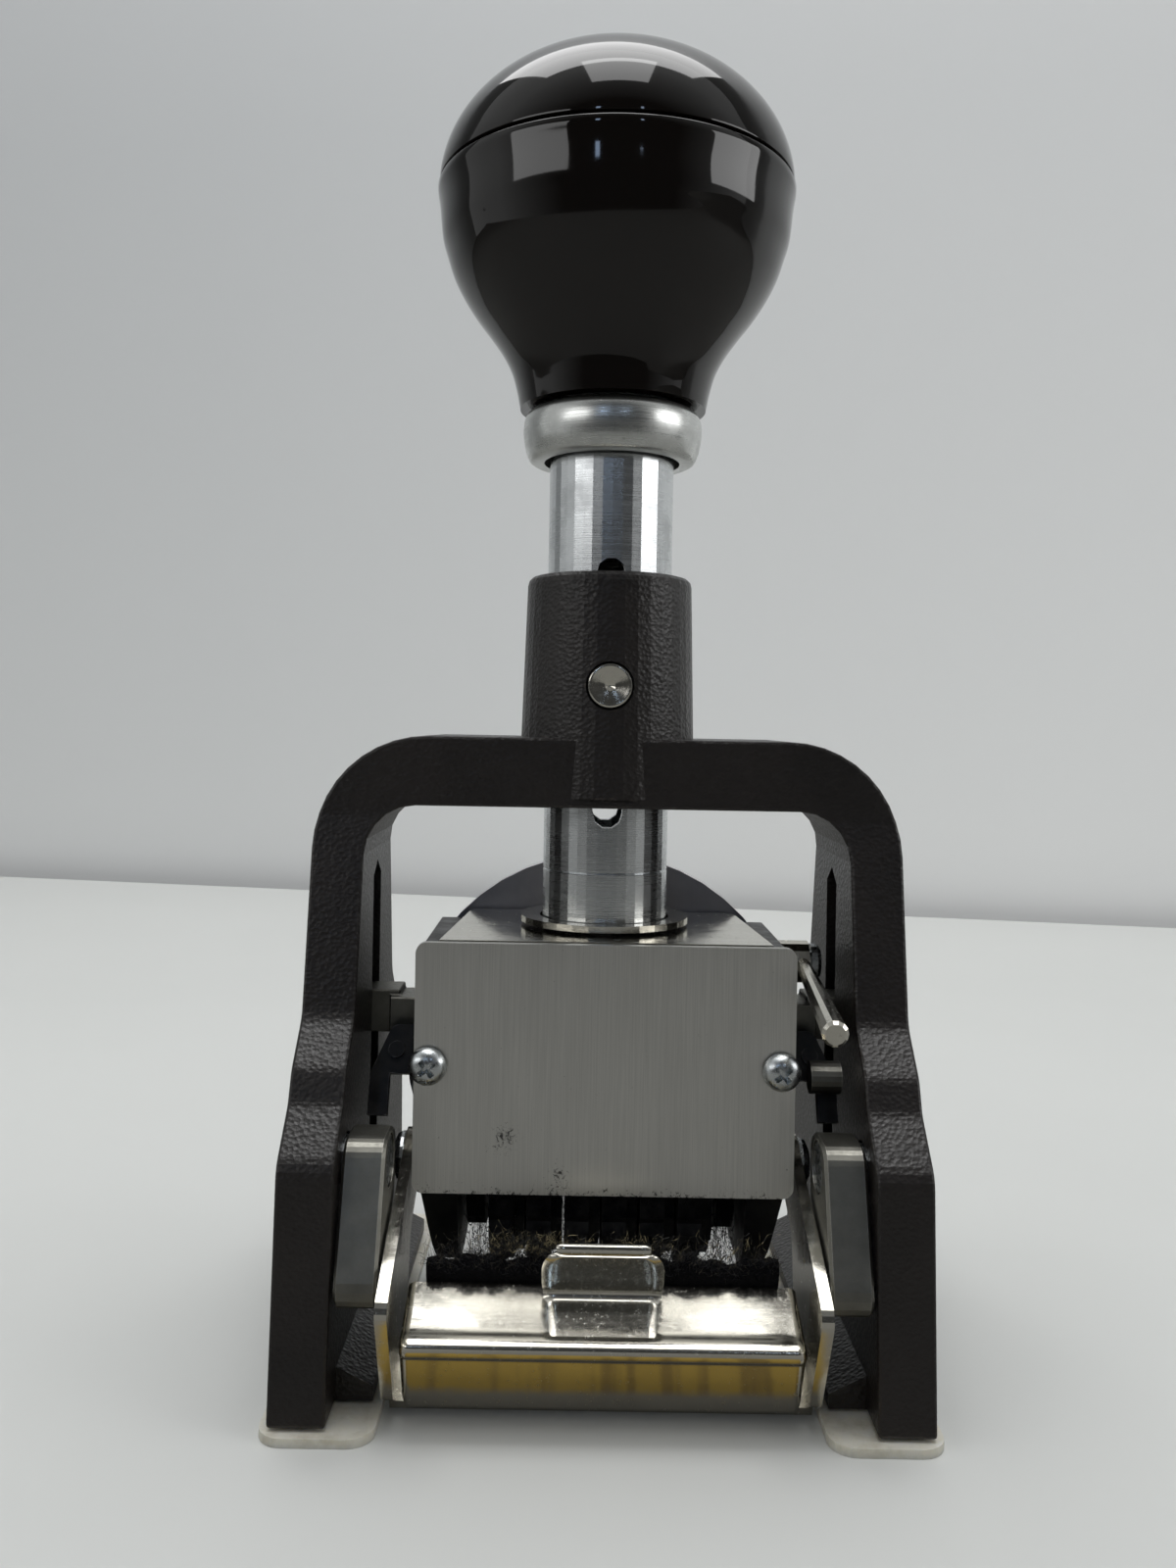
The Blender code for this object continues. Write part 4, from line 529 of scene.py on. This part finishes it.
def build_type(finish):
    """Plain mirrored digits, raised on the ten flats of each wheel."""
    digit_height = 3.4 * mm
    raised = 0.22 * mm
    flat = 9.1 * mm
    ring_middle = 1.3 * mm
    mirror = Matrix.Diagonal((-0.82, 1.0, 1.0, 1.0))
    stand = Matrix.Rotation(-math.pi / 2, 4, "X")
    out = Matrix.Translation((0.0, flat, 0.0))
    for w in range(wheel_count):
        low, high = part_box(f"number_wheel_{w + 1}")
        centre = Vector((low.x + ring_middle, 0.0, (low.z + high.z) / 2))
        parts = []
        for d in range(digit_count):
            words = bpy.data.curves.new("digit", "FONT")
            words.body = str(d)
            words.align_x = "CENTER"
            words.align_y = "CENTER"
            words.size = digit_height
            words.extrude = raised
            words.resolution_u = 3
            thing = bpy.data.objects.new("digit", words)
            bpy.context.scene.collection.objects.link(thing)
            bpy.context.view_layer.update()
            mesh = bpy.data.meshes.new_from_object(thing)
            bpy.data.objects.remove(thing, do_unlink=True)
            spin = Matrix.Rotation(2 * math.pi * d / digit_count, 4, "X")
            mesh.transform(Matrix.Translation(centre) @ spin @ out @ stand @ mirror)
            mesh.flip_normals()
            parts.append(mesh)
        joined = bmesh.new()
        for mesh in parts:
            joined.from_mesh(mesh)
            bpy.data.meshes.remove(mesh)
        mesh = bpy.data.meshes.new(f"type_{w + 1}")
        joined.to_mesh(mesh)
        joined.free()
        thing = bpy.data.objects.new(f"type_{w + 1}", mesh)
        bpy.context.scene.collection.objects.link(thing)
        dress(thing, finish, f"wheel_{w + 1}", "black_oxide")


# Ink pad tray

def build_tray(finish):
    """A tray pressed from sheet with a beaded front edge, and the finger tab that leans from it."""
    front, rear, floor, rim, wall = 1.7, 10.25, 22.4, 15.0, 0.5
    half, bend, bend_steps = 19.0, 0.9, 7
    line = [(front, rim), (front, 17.6), (front, 19.9), (front - 0.03, 20.6), (front - 0.18, 21.2),
            (front - 0.24, 21.8), (front - 0.10, 22.35), (front + 0.42, 22.66),
            (front + 1.05, 22.62), (front + 1.55, 22.43), (front + 2.10, floor), (6.0, floor),
            (rear - 1.2, floor), (rear - 0.45, floor - 0.08), (rear - 0.08, floor - 0.45),
            (rear, floor - 1.2), (rear, rim + 2.0), (rear, rim)]
    outer = [(v.x, v.y) for v in smooth_line([(y, z, 0.0) for y, z in line], 4)]
    inner = [(rear - wall, rim), (rear - wall, 20.5), (rear - 0.9, floor - 0.9),
             (front + 0.9, floor - 0.9), (front + wall, 20.5), (front + wall, rim)]

    def inset(points, depth):
        middle = (front + rear) / 2
        share_y = 1.0 - 2 * depth / (rear - front)
        share_z = 1.0 - depth / (floor - rim)
        return [(middle + (y - middle) * share_y, rim + (z - rim) * share_z) for y, z in points]

    def closed(depth):
        outside = inset(outer, depth)
        (y0, z0), (y1, z1) = outside[-1], outside[0]
        count = len(inner)
        return outside + [(y0 + (y1 - y0) * (k + 0.5) / count, rim) for k in range(count)]

    def build(work):
        ends = []
        for k in range(bend_steps, -1, -1):
            angle = math.pi / 2 * k / bend_steps
            ends.append((half - bend + bend * math.sin(angle), closed(bend * (1 - math.cos(angle)))))
        ends.append((half - bend - 0.02, outer + inner))
        stations = [(-x, loop) for x, loop in ends] + [(x, loop) for x, loop in reversed(ends)]
        rings = [[work.verts.new((x * mm, y * mm, -z * mm)) for y, z in loop]
                 for x, loop in stations]
        for a, b in zip(rings, rings[1:]):
            for k in range(len(a)):
                work.faces.new((a[k - 1], a[k], b[k], b[k - 1]))
        work.faces.new(rings[0])
        work.faces.new(rings[-1][::-1])
        bmesh.ops.recalc_face_normals(work, faces=work.faces)

    tray = mesh_object("tray_pressed", build)
    tray.data.transform(carrier_place)
    soften(tray, 45)
    dress(tray, finish, "pad_tray", "bright_nickel", "pad_tray")

    def tab(work):
        """A sheet that lies on the front wall, bends out and ends in a rolled lip."""
        thick, top, lip_steps, across = 0.7, 16.0, 8, 18
        spine = [(1.92, 21.0), (1.92, 18.6), (1.90, 17.2), (1.60, 16.45), (1.00, 16.08), (0.2, top),
                 (-0.8, top), (-1.6, top), (-2.4, top), (-3.0, top), (-3.5, top)]
        spine = smooth_line([(y, z, 0.0) for y, z in spine], 6)
        total = len(spine) - 1
        sections = []
        for i, point in enumerate(spine):
            ahead = spine[min(i + 1, total)] - spine[max(i - 1, 0)]
            out = Vector((-ahead.y, ahead.x, 0.0)).normalized()
            half_width = 5.4 + 0.5 * min(1.0, i / (0.5 * total))
            round_off = min(1.0, max(0.0, (-1.2 - point.x) / 2.3))
            half_width -= 1.35 * (1.0 - math.sqrt(1.0 - round_off * round_off))
            sections.append((point, out, half_width, thick / 2))
        tip = spine[-1]
        for k in range(1, lip_steps + 1):
            angle = math.pi * k / lip_steps
            sections.append((Vector((tip.x - 0.62 * math.sin(angle),
                                     tip.y - 0.30 + 0.30 * math.cos(angle), 0.0)),
                             Vector((-math.sin(angle), math.cos(angle), 0.0)), 4.5, 0.22))
        rings = []
        for point, out, half_width, depth in sections:
            ring = []
            for face in (1, -1):
                for k in range(across + 1):
                    share = face * (2 * k / across - 1)
                    edge = max(0.0, abs(share) - 0.93) / 0.07
                    lift = depth * math.sqrt(max(0.0, 1.0 - edge * edge * 0.96))
                    spot = point + out * (face * lift)
                    ring.append(work.verts.new((share * half_width * mm, spot.x * mm, -spot.y * mm)))
            rings.append(ring)
        for a, b in zip(rings, rings[1:]):
            for k in range(len(a)):
                work.faces.new((a[k - 1], a[k], b[k], b[k - 1]))
        work.faces.new(rings[0])
        work.faces.new(rings[-1][::-1])
        bmesh.ops.recalc_face_normals(work, faces=work.faces)

    blade = mesh_object("finger_tab", tab)
    blade.data.transform(carrier_place)
    soften(blade, 50)
    dress(blade, finish, "pad_tray", "bright_nickel")


# Ink felt

def felt_ring(x, steps=8):
    """The felt's section at x, in the tray's level frame: it spills over the tray's front rim."""
    spill = (0.72 + 0.16 * math.sin(x * 900.0) + 0.12 * math.sin(x * 2300.0 + 1.0)) * mm
    sag = (0.15 + 0.15 * math.sin(x * 1500.0 + 2.0)) * mm
    front, rear, rim = 2.6 * mm, 9.1 * mm, -14.75 * mm
    bottom, top = -21.1 * mm, -13.05 * mm
    edge = 1.1 * mm - 2.1 * spill
    corners = [(front, rim), (edge + 0.8 * mm, rim), (edge, rim + 0.5 * mm),
               (edge + 0.1 * mm, top - 0.5 * mm), (edge + 0.9 * mm, top - sag),
               (front + 1.5 * mm, top), (rear - 1.0 * mm, top - sag), (rear, top - 0.6 * mm),
               (rear, bottom), (front, bottom)]
    points = []
    for (y0, z0), (y1, z1) in zip(corners, corners[1:] + corners[:1]):
        points += [(y0 + (y1 - y0) * k / steps, z0 + (z1 - z0) * k / steps) for k in range(steps)]
    return points


def build_felt(finish, hair_finish, curl_finish):
    """A felt block with a torn, hairy face, drawn in the tray's level frame."""
    half = 17.2 * mm
    sections = 140
    fibre_limit = -12.75 * mm

    def build(work):
        rings = []
        for i in range(sections + 1):
            x = half * (2 * i / sections - 1)
            ring = []
            for y, z in felt_ring(x):
                loose = 0.16 * mm if z > -15.5 * mm else 0.02 * mm
                ring.append(work.verts.new((x, y + random.uniform(-loose, loose),
                                            z + random.uniform(-loose, loose * 0.3))))
            rings.append(ring)
        for a, b in zip(rings, rings[1:]):
            for k in range(len(a)):
                work.faces.new((a[k], a[k - 1], b[k - 1], b[k]))
        work.faces.new(rings[0])
        work.faces.new(rings[-1][::-1])
        bmesh.ops.recalc_face_normals(work, faces=work.faces)

    felt = mesh_object("felt_block", build)
    felt.data.transform(carrier_place)
    felt.data.shade_smooth()
    dress(felt, finish, "pad_tray", "ink_felt", "ink_felt")

    upright = carrier_turn.inverted() @ Vector((0.0, 0.0, 1.0))
    across = Vector((1.0, 0.0, 0.0))

    def short_hairs(work):
        for _ in range(6500):
            x = random.uniform(-1, 1) * half
            y, z = random.choice(felt_ring(x)[8:64])
            way = Vector((random.gauss(0, 0.8), random.gauss(-0.25, 0.7), random.uniform(0.0, 0.9)))
            fibre(work, Vector((x, y, z - 0.1 * mm)), way.normalized(),
                  random.uniform(0.3, 1.2) * mm, 0.0, 0.024 * mm, fibre_limit)
        for _ in range(900):
            x = random.choice((random.gauss(-8.5, 3.2), random.gauss(3.5, 3.0),
                               random.uniform(-16.5, 16.5))) * mm
            way = upright + across * random.gauss(0, 0.9)
            fibre(work, Vector((x, random.uniform(-0.8, 1.6) * mm, -13.4 * mm)), way.normalized(),
                  random.uniform(0.8, 2.4) * mm, random.uniform(0.15, 0.5) * mm, 0.030 * mm,
                  fibre_limit)

    def curls(work):
        for centre, spread, count in ((-9.0, 2.3, 190), (-5.0, 1.8, 80), (3.6, 1.9, 90),
                                      (10.0, 3.5, 50), (0.0, 8.0, 60)):
            for _ in range(count):
                x = random.gauss(centre, spread) * mm
                way = upright + across * random.gauss(0, 0.8)
                root = Vector((x, random.uniform(-1.2, 0.6) * mm, -13.6 * mm))
                root += upright * random.uniform(0.0, 1.6) * mm
                fibre(work, root, way.normalized(), random.uniform(1.2, 3.6) * mm,
                      random.uniform(0.25, 0.75) * mm, 0.036 * mm, fibre_limit)

    fuzz = mesh_object("felt_fuzz", short_hairs)
    fuzz.data.transform(carrier_place)
    dress(fuzz, hair_finish, "pad_tray", "ink_felt")
    loose = mesh_object("felt_curls", curls)
    loose.data.transform(carrier_place)
    dress(loose, curl_finish, "pad_tray", "ink_felt")


def fibre(work, root, way, length, curl, wide, limit):
    """One flat fibre: it bends, and winds where it has a curl; it ends where it meets the limit."""
    bend = Vector((random.gauss(0, 1), random.gauss(0, 1), random.gauss(0, 0.7)))
    side = way.cross(bend).normalized()
    phase = random.uniform(0, 6.28)
    turns = random.uniform(5.0, 13.0)
    steps = 16 if curl else 5
    last = None
    for k in range(steps + 1):
        t = k / steps
        spot = root + way * (length * t) + bend * (length * 0.28 * t * t)
        if curl:
            turn = phase + t * turns
            spot += (side * math.cos(turn) + way.cross(side) * math.sin(turn)) * curl * t
        if spot.z > limit:
            break
        thin = wide * (1.0 - 0.6 * t)
        pair = (work.verts.new(spot - side * thin), work.verts.new(spot + side * thin))
        if last:
            work.faces.new((last[0], last[1], pair[1], pair[0]))
        last = pair


def build_lint(finish):
    """Dark ink-felt fibres round the wheel shaft, between the wheels and at both ends: painted shade
    that darkens the gaps there.
    """
    places = []
    end_gap = 1.3 * mm
    half_width = 0.08 * mm
    steps = 8
    # painted shade: dark fibres hang in the gaps between the wheels and beside the end wheels
    for w in range(wheel_count - 1):
        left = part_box(f"number_wheel_{w + 1}")[1].x
        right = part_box(f"number_wheel_{w + 2}")[0].x
        places.append(((left + right) / 2, 0.05 * mm, 420))
    low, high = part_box("number_wheel_1")
    last_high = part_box(f"number_wheel_{wheel_count}")[1]
    centre = (low.z + high.z) / 2
    places.append((low.x - end_gap, 0.8 * mm, 1000))
    places.append((last_high.x + end_gap, 0.8 * mm, 1000))

    def build(work):
        for x, spread, count in places:
            for _ in range(count):
                root = Vector((x + random.gauss(0, spread), random.uniform(-7.0, 6.0) * mm,
                               centre - random.uniform(0.5, 8.0) * mm))
                way = Vector((random.gauss(0, 0.04), random.gauss(0, 0.6), random.gauss(0, 1)))
                side = Vector((0.0, -way.z, way.y)).normalized()
                length = random.uniform(1.2, 3.0) * mm
                last = None
                for k in range(steps + 1):
                    t = k / steps
                    sway = side * (length * 0.3 * math.sin(4 * t))
                    spot = root + way.normalized() * (length * t) + sway
                    spot.z = max(spot.z, low.z + 0.3 * mm)
                    pair = (work.verts.new(spot - side * half_width),
                            work.verts.new(spot + side * half_width))
                    if last:
                        work.faces.new((last[0], last[1], pair[1], pair[0]))
                    last = pair

    dress(mesh_object("painted_gap_shade_fibres", build), finish, "plunger", "ink_felt")


# Room, light and camera

def table_paper():
    """The pale table. Only gloss sees the amber patch just in front of the tray: it is a painted
    reflection, and glossy rays also see the rest of the table painted darker, as painted shade.
    """
    s = Shader("table_paper", (0.60, 0.61, 0.595), 0.7)
    cloud = s.noise(s.place(), 9.0, 3.0)
    paper = s.mix(s.ramp(cloud, 0.3, 0.7), (0.585, 0.595, 0.58), (0.605, 0.615, 0.60))
    depth = s.along("Y")
    # painted reflection: the amber patch with dark tick marks, seen only by glossy rays
    amber_reflection_mask = s.product(s.ramp(depth, -24.6 * mm, -24.0 * mm, 1.0, 0.0),
                      s.ramp(depth, -34.6 * mm, -34.0 * mm),
                      s.ramp(s.maths("ABSOLUTE", s.along("X")), 21.5 * mm, 22.5 * mm, 1.0, 0.0))
    marks = s.ramp(s.noise(s.place((420.0, 25.0, 1.0)), 1.0, 2.0), 0.52, 0.62)
    painted_amber_reflection = s.mix(marks, (0.36, 0.25, 0.045), (0.20, 0.135, 0.03))
    # painted shade in reflections: outside the patch, glossy rays see the table darker than its paper
    painted_reflection_colour = s.mix(amber_reflection_mask, (0.20, 0.20, 0.19), painted_amber_reflection)
    seen = s.tree.nodes.new("ShaderNodeLightPath").outputs["Is Glossy Ray"]
    s.set("Base Color", s.mix(seen, paper, painted_reflection_colour))
    return s.material


def wall_paper():
    """The wall, with painted light in its colour: paler low down and to the right, where the room's
    light reaches it.
    """
    s = Shader("wall_paper", (0.66, 0.675, 0.68), 0.8)
    # painted light: the wall's colour pales towards the bottom and to the right
    rise = s.ramp(s.along("Z"), 0.03, 0.30, 1.0, 0.0)
    right = s.ramp(s.along("X"), -0.15, 0.20)
    light = s.maths("ADD", s.maths("MULTIPLY", rise, 0.62), s.maths("MULTIPLY", right, 0.38))
    s.set("Base Color", s.mix(light, (0.66, 0.675, 0.685), (0.88, 0.885, 0.88)))
    return s.material


def build_stage():
    """A pale table whose far edge slants, and the wall behind it."""
    left, right = Vector((-233.0, 372.0, 0.0)) * mm, Vector((206.0, 290.0, 0.0)) * mm
    along = (right - left).normalized()
    reach = 3.0
    far_left, far_right = left - along * reach, right + along * reach

    def table(work):
        near = Vector((0.0, -0.72, 0.0))
        work.faces.new([work.verts.new(p) for p in
                        (far_left, far_left + near, far_right + near, far_right)])
        bmesh.ops.recalc_face_normals(work, faces=work.faces)

    def wall(work):
        back = Vector((-along.y, along.x, 0.0)) * 12.0 * mm
        low = Vector((0.0, 0.0, -0.3))
        high = Vector((0.0, 0.0, 2.0))
        work.faces.new([work.verts.new(p + back) for p in
                        (far_left + low, far_right + low, far_right + high, far_left + high)])

    floor = mesh_object("table_top", table)
    floor.data.materials.append(table_paper())
    screen = mesh_object("back_wall", wall)
    screen.data.materials.append(wall_paper())


def area_light(name, side, rise, distance, size, power, colour=(1.0, 1.0, 1.0)):
    """A soft lamp: side is degrees round from the viewer to the right, rise degrees up."""
    light = bpy.data.lights.new(name, "AREA")
    light.shape = "RECTANGLE"
    light.size, light.size_y = size
    light.energy = power
    light.color = colour
    thing = bpy.data.objects.new(name, light)
    bpy.context.scene.collection.objects.link(thing)
    aim = Vector((0.0, 0.0, 0.11))
    flat, up = math.cos(math.radians(rise)), math.sin(math.radians(rise))
    way = Vector((math.sin(math.radians(side)) * flat, -math.cos(math.radians(side)) * flat, up))
    thing.location = aim + way * distance
    thing.rotation_euler = way.to_track_quat("Z", "Y").to_euler()
    return thing


def build_light():
    area_light("ceiling", 180.0, 76.0, 0.80, (0.86, 0.60), 6.2)
    area_light("ceiling_front", 0.0, 74.0, 0.80, (0.36, 0.40), 1.3)
    area_light("window_left", -48.6, 15.5, 0.8, (0.51, 0.20), 0.62)
    area_light("window_right", 74.8, 14.0, 0.8, (0.50, 0.24), 1.05)
    area_light("slit_left", -13.0, 18.0, 0.8, (0.034, 0.13), 0.080, (0.55, 0.72, 1.0))
    area_light("slit_right", 13.0, 19.0, 0.8, (0.022, 0.12), 0.045, (0.62, 0.76, 1.0))
    world = bpy.data.worlds.new("room")
    bpy.context.scene.world = world
    world.use_nodes = True
    tree = world.node_tree
    ground = tree.nodes["Background"]
    ways = tree.nodes.new("ShaderNodeTexCoord").outputs["Generated"]
    split = tree.nodes.new("ShaderNodeSeparateXYZ")
    tree.links.new(ways, split.inputs[0])
    dark = tree.nodes.new("ShaderNodeMapRange")
    dark.inputs["From Min"].default_value = -0.80
    dark.inputs["From Max"].default_value = -0.20
    dark.inputs["To Min"].default_value = 0.04
    dark.inputs["To Max"].default_value = 0.50
    tree.links.new(split.outputs["Y"], dark.inputs["Value"])
    seen = tree.nodes.new("ShaderNodeLightPath").outputs["Is Camera Ray"]
    pick = tree.nodes.new("ShaderNodeMix")
    pick.data_type = "FLOAT"
    tree.links.new(seen, pick.inputs["Factor"])
    tree.links.new(dark.outputs["Result"], pick.inputs["A"])
    pick.inputs["B"].default_value = 0.58
    tree.links.new(pick.outputs[0], ground.inputs["Strength"])
    ground.inputs["Color"].default_value = (0.98, 1.0, 1.0, 1.0)


def build_camera():
    data = bpy.data.cameras.new("photo_camera")
    data.sensor_width = sensor_mm
    data.lens = focal_px * sensor_mm / photo_height
    data.shift_x = (photo_width / 2 - axis_px[0]) / photo_height
    data.shift_y = (axis_px[1] - photo_height / 2) / photo_height
    data.clip_start = 0.005
    camera = bpy.data.objects.new("photo_camera", data)
    bpy.context.scene.collection.objects.link(camera)
    camera.location = camera_place
    camera.rotation_euler = (math.pi / 2, -camera_roll, 0.0)
    bpy.context.scene.camera = camera


def finish_nodes(finishes):
    """Every node that still shows gets the finish of its slot, or one of its own."""
    own = {f"number_wheel_{w + 1}": "type" for w in range(wheel_count)}
    slot_of = {p["node"]: p["material_slot"] for p in frame["record"]["subparts"]}
    for name, thing in nodes.items():
        key = own.get(name, slot_of[name])
        thing.data.materials.clear()
        thing.data.materials.append(finishes[key])


finishes = {
    "frame_paint": wrinkle_paint(),
    "cream_rubber": foot_rubber(),
    "bright_nickel": nickel("bright_nickel", (0.67, 0.645, 0.575), 0.14),
    "turned_aluminium": turned_metal("turned_aluminium", (0.70, 0.72, 0.73), 0.24),
    "tumbled_steel": tumbled_steel(),
    "knob_plastic": knob_gloss(),
    "zinc_plate": zinc(),
    "black_oxide": black_oxide(),
    "brushed_plate": brushed_plate(),
    "satin_dial": satin_dial(),
    "ink_felt": inked_felt(),
    "type": type_ink(),
}
finish_nodes(finishes)
build_knob(finishes["knob_plastic"])
build_collar(turned_metal("collar_metal", (0.72, 0.73, 0.71), 0.28))
build_screw_head("screw_head_left", "plate_screw_left", finishes["zinc_plate"])
build_screw_head("screw_head_right", "plate_screw_right", finishes["zinc_plate"])
build_lock_pin(finishes["bright_nickel"])
build_type(finishes["type"])
build_tray(finishes["bright_nickel"])
curl_finish = felt_hair("curl_hair", (0.020, 0.019, 0.016), (0.36, 0.30, 0.17))
build_felt(finishes["ink_felt"], felt_hair(), curl_finish)
build_lint(finishes["ink_felt"])
build_stage()
build_light()
build_camera()

bpy.context.scene.view_settings.view_transform = "Standard"
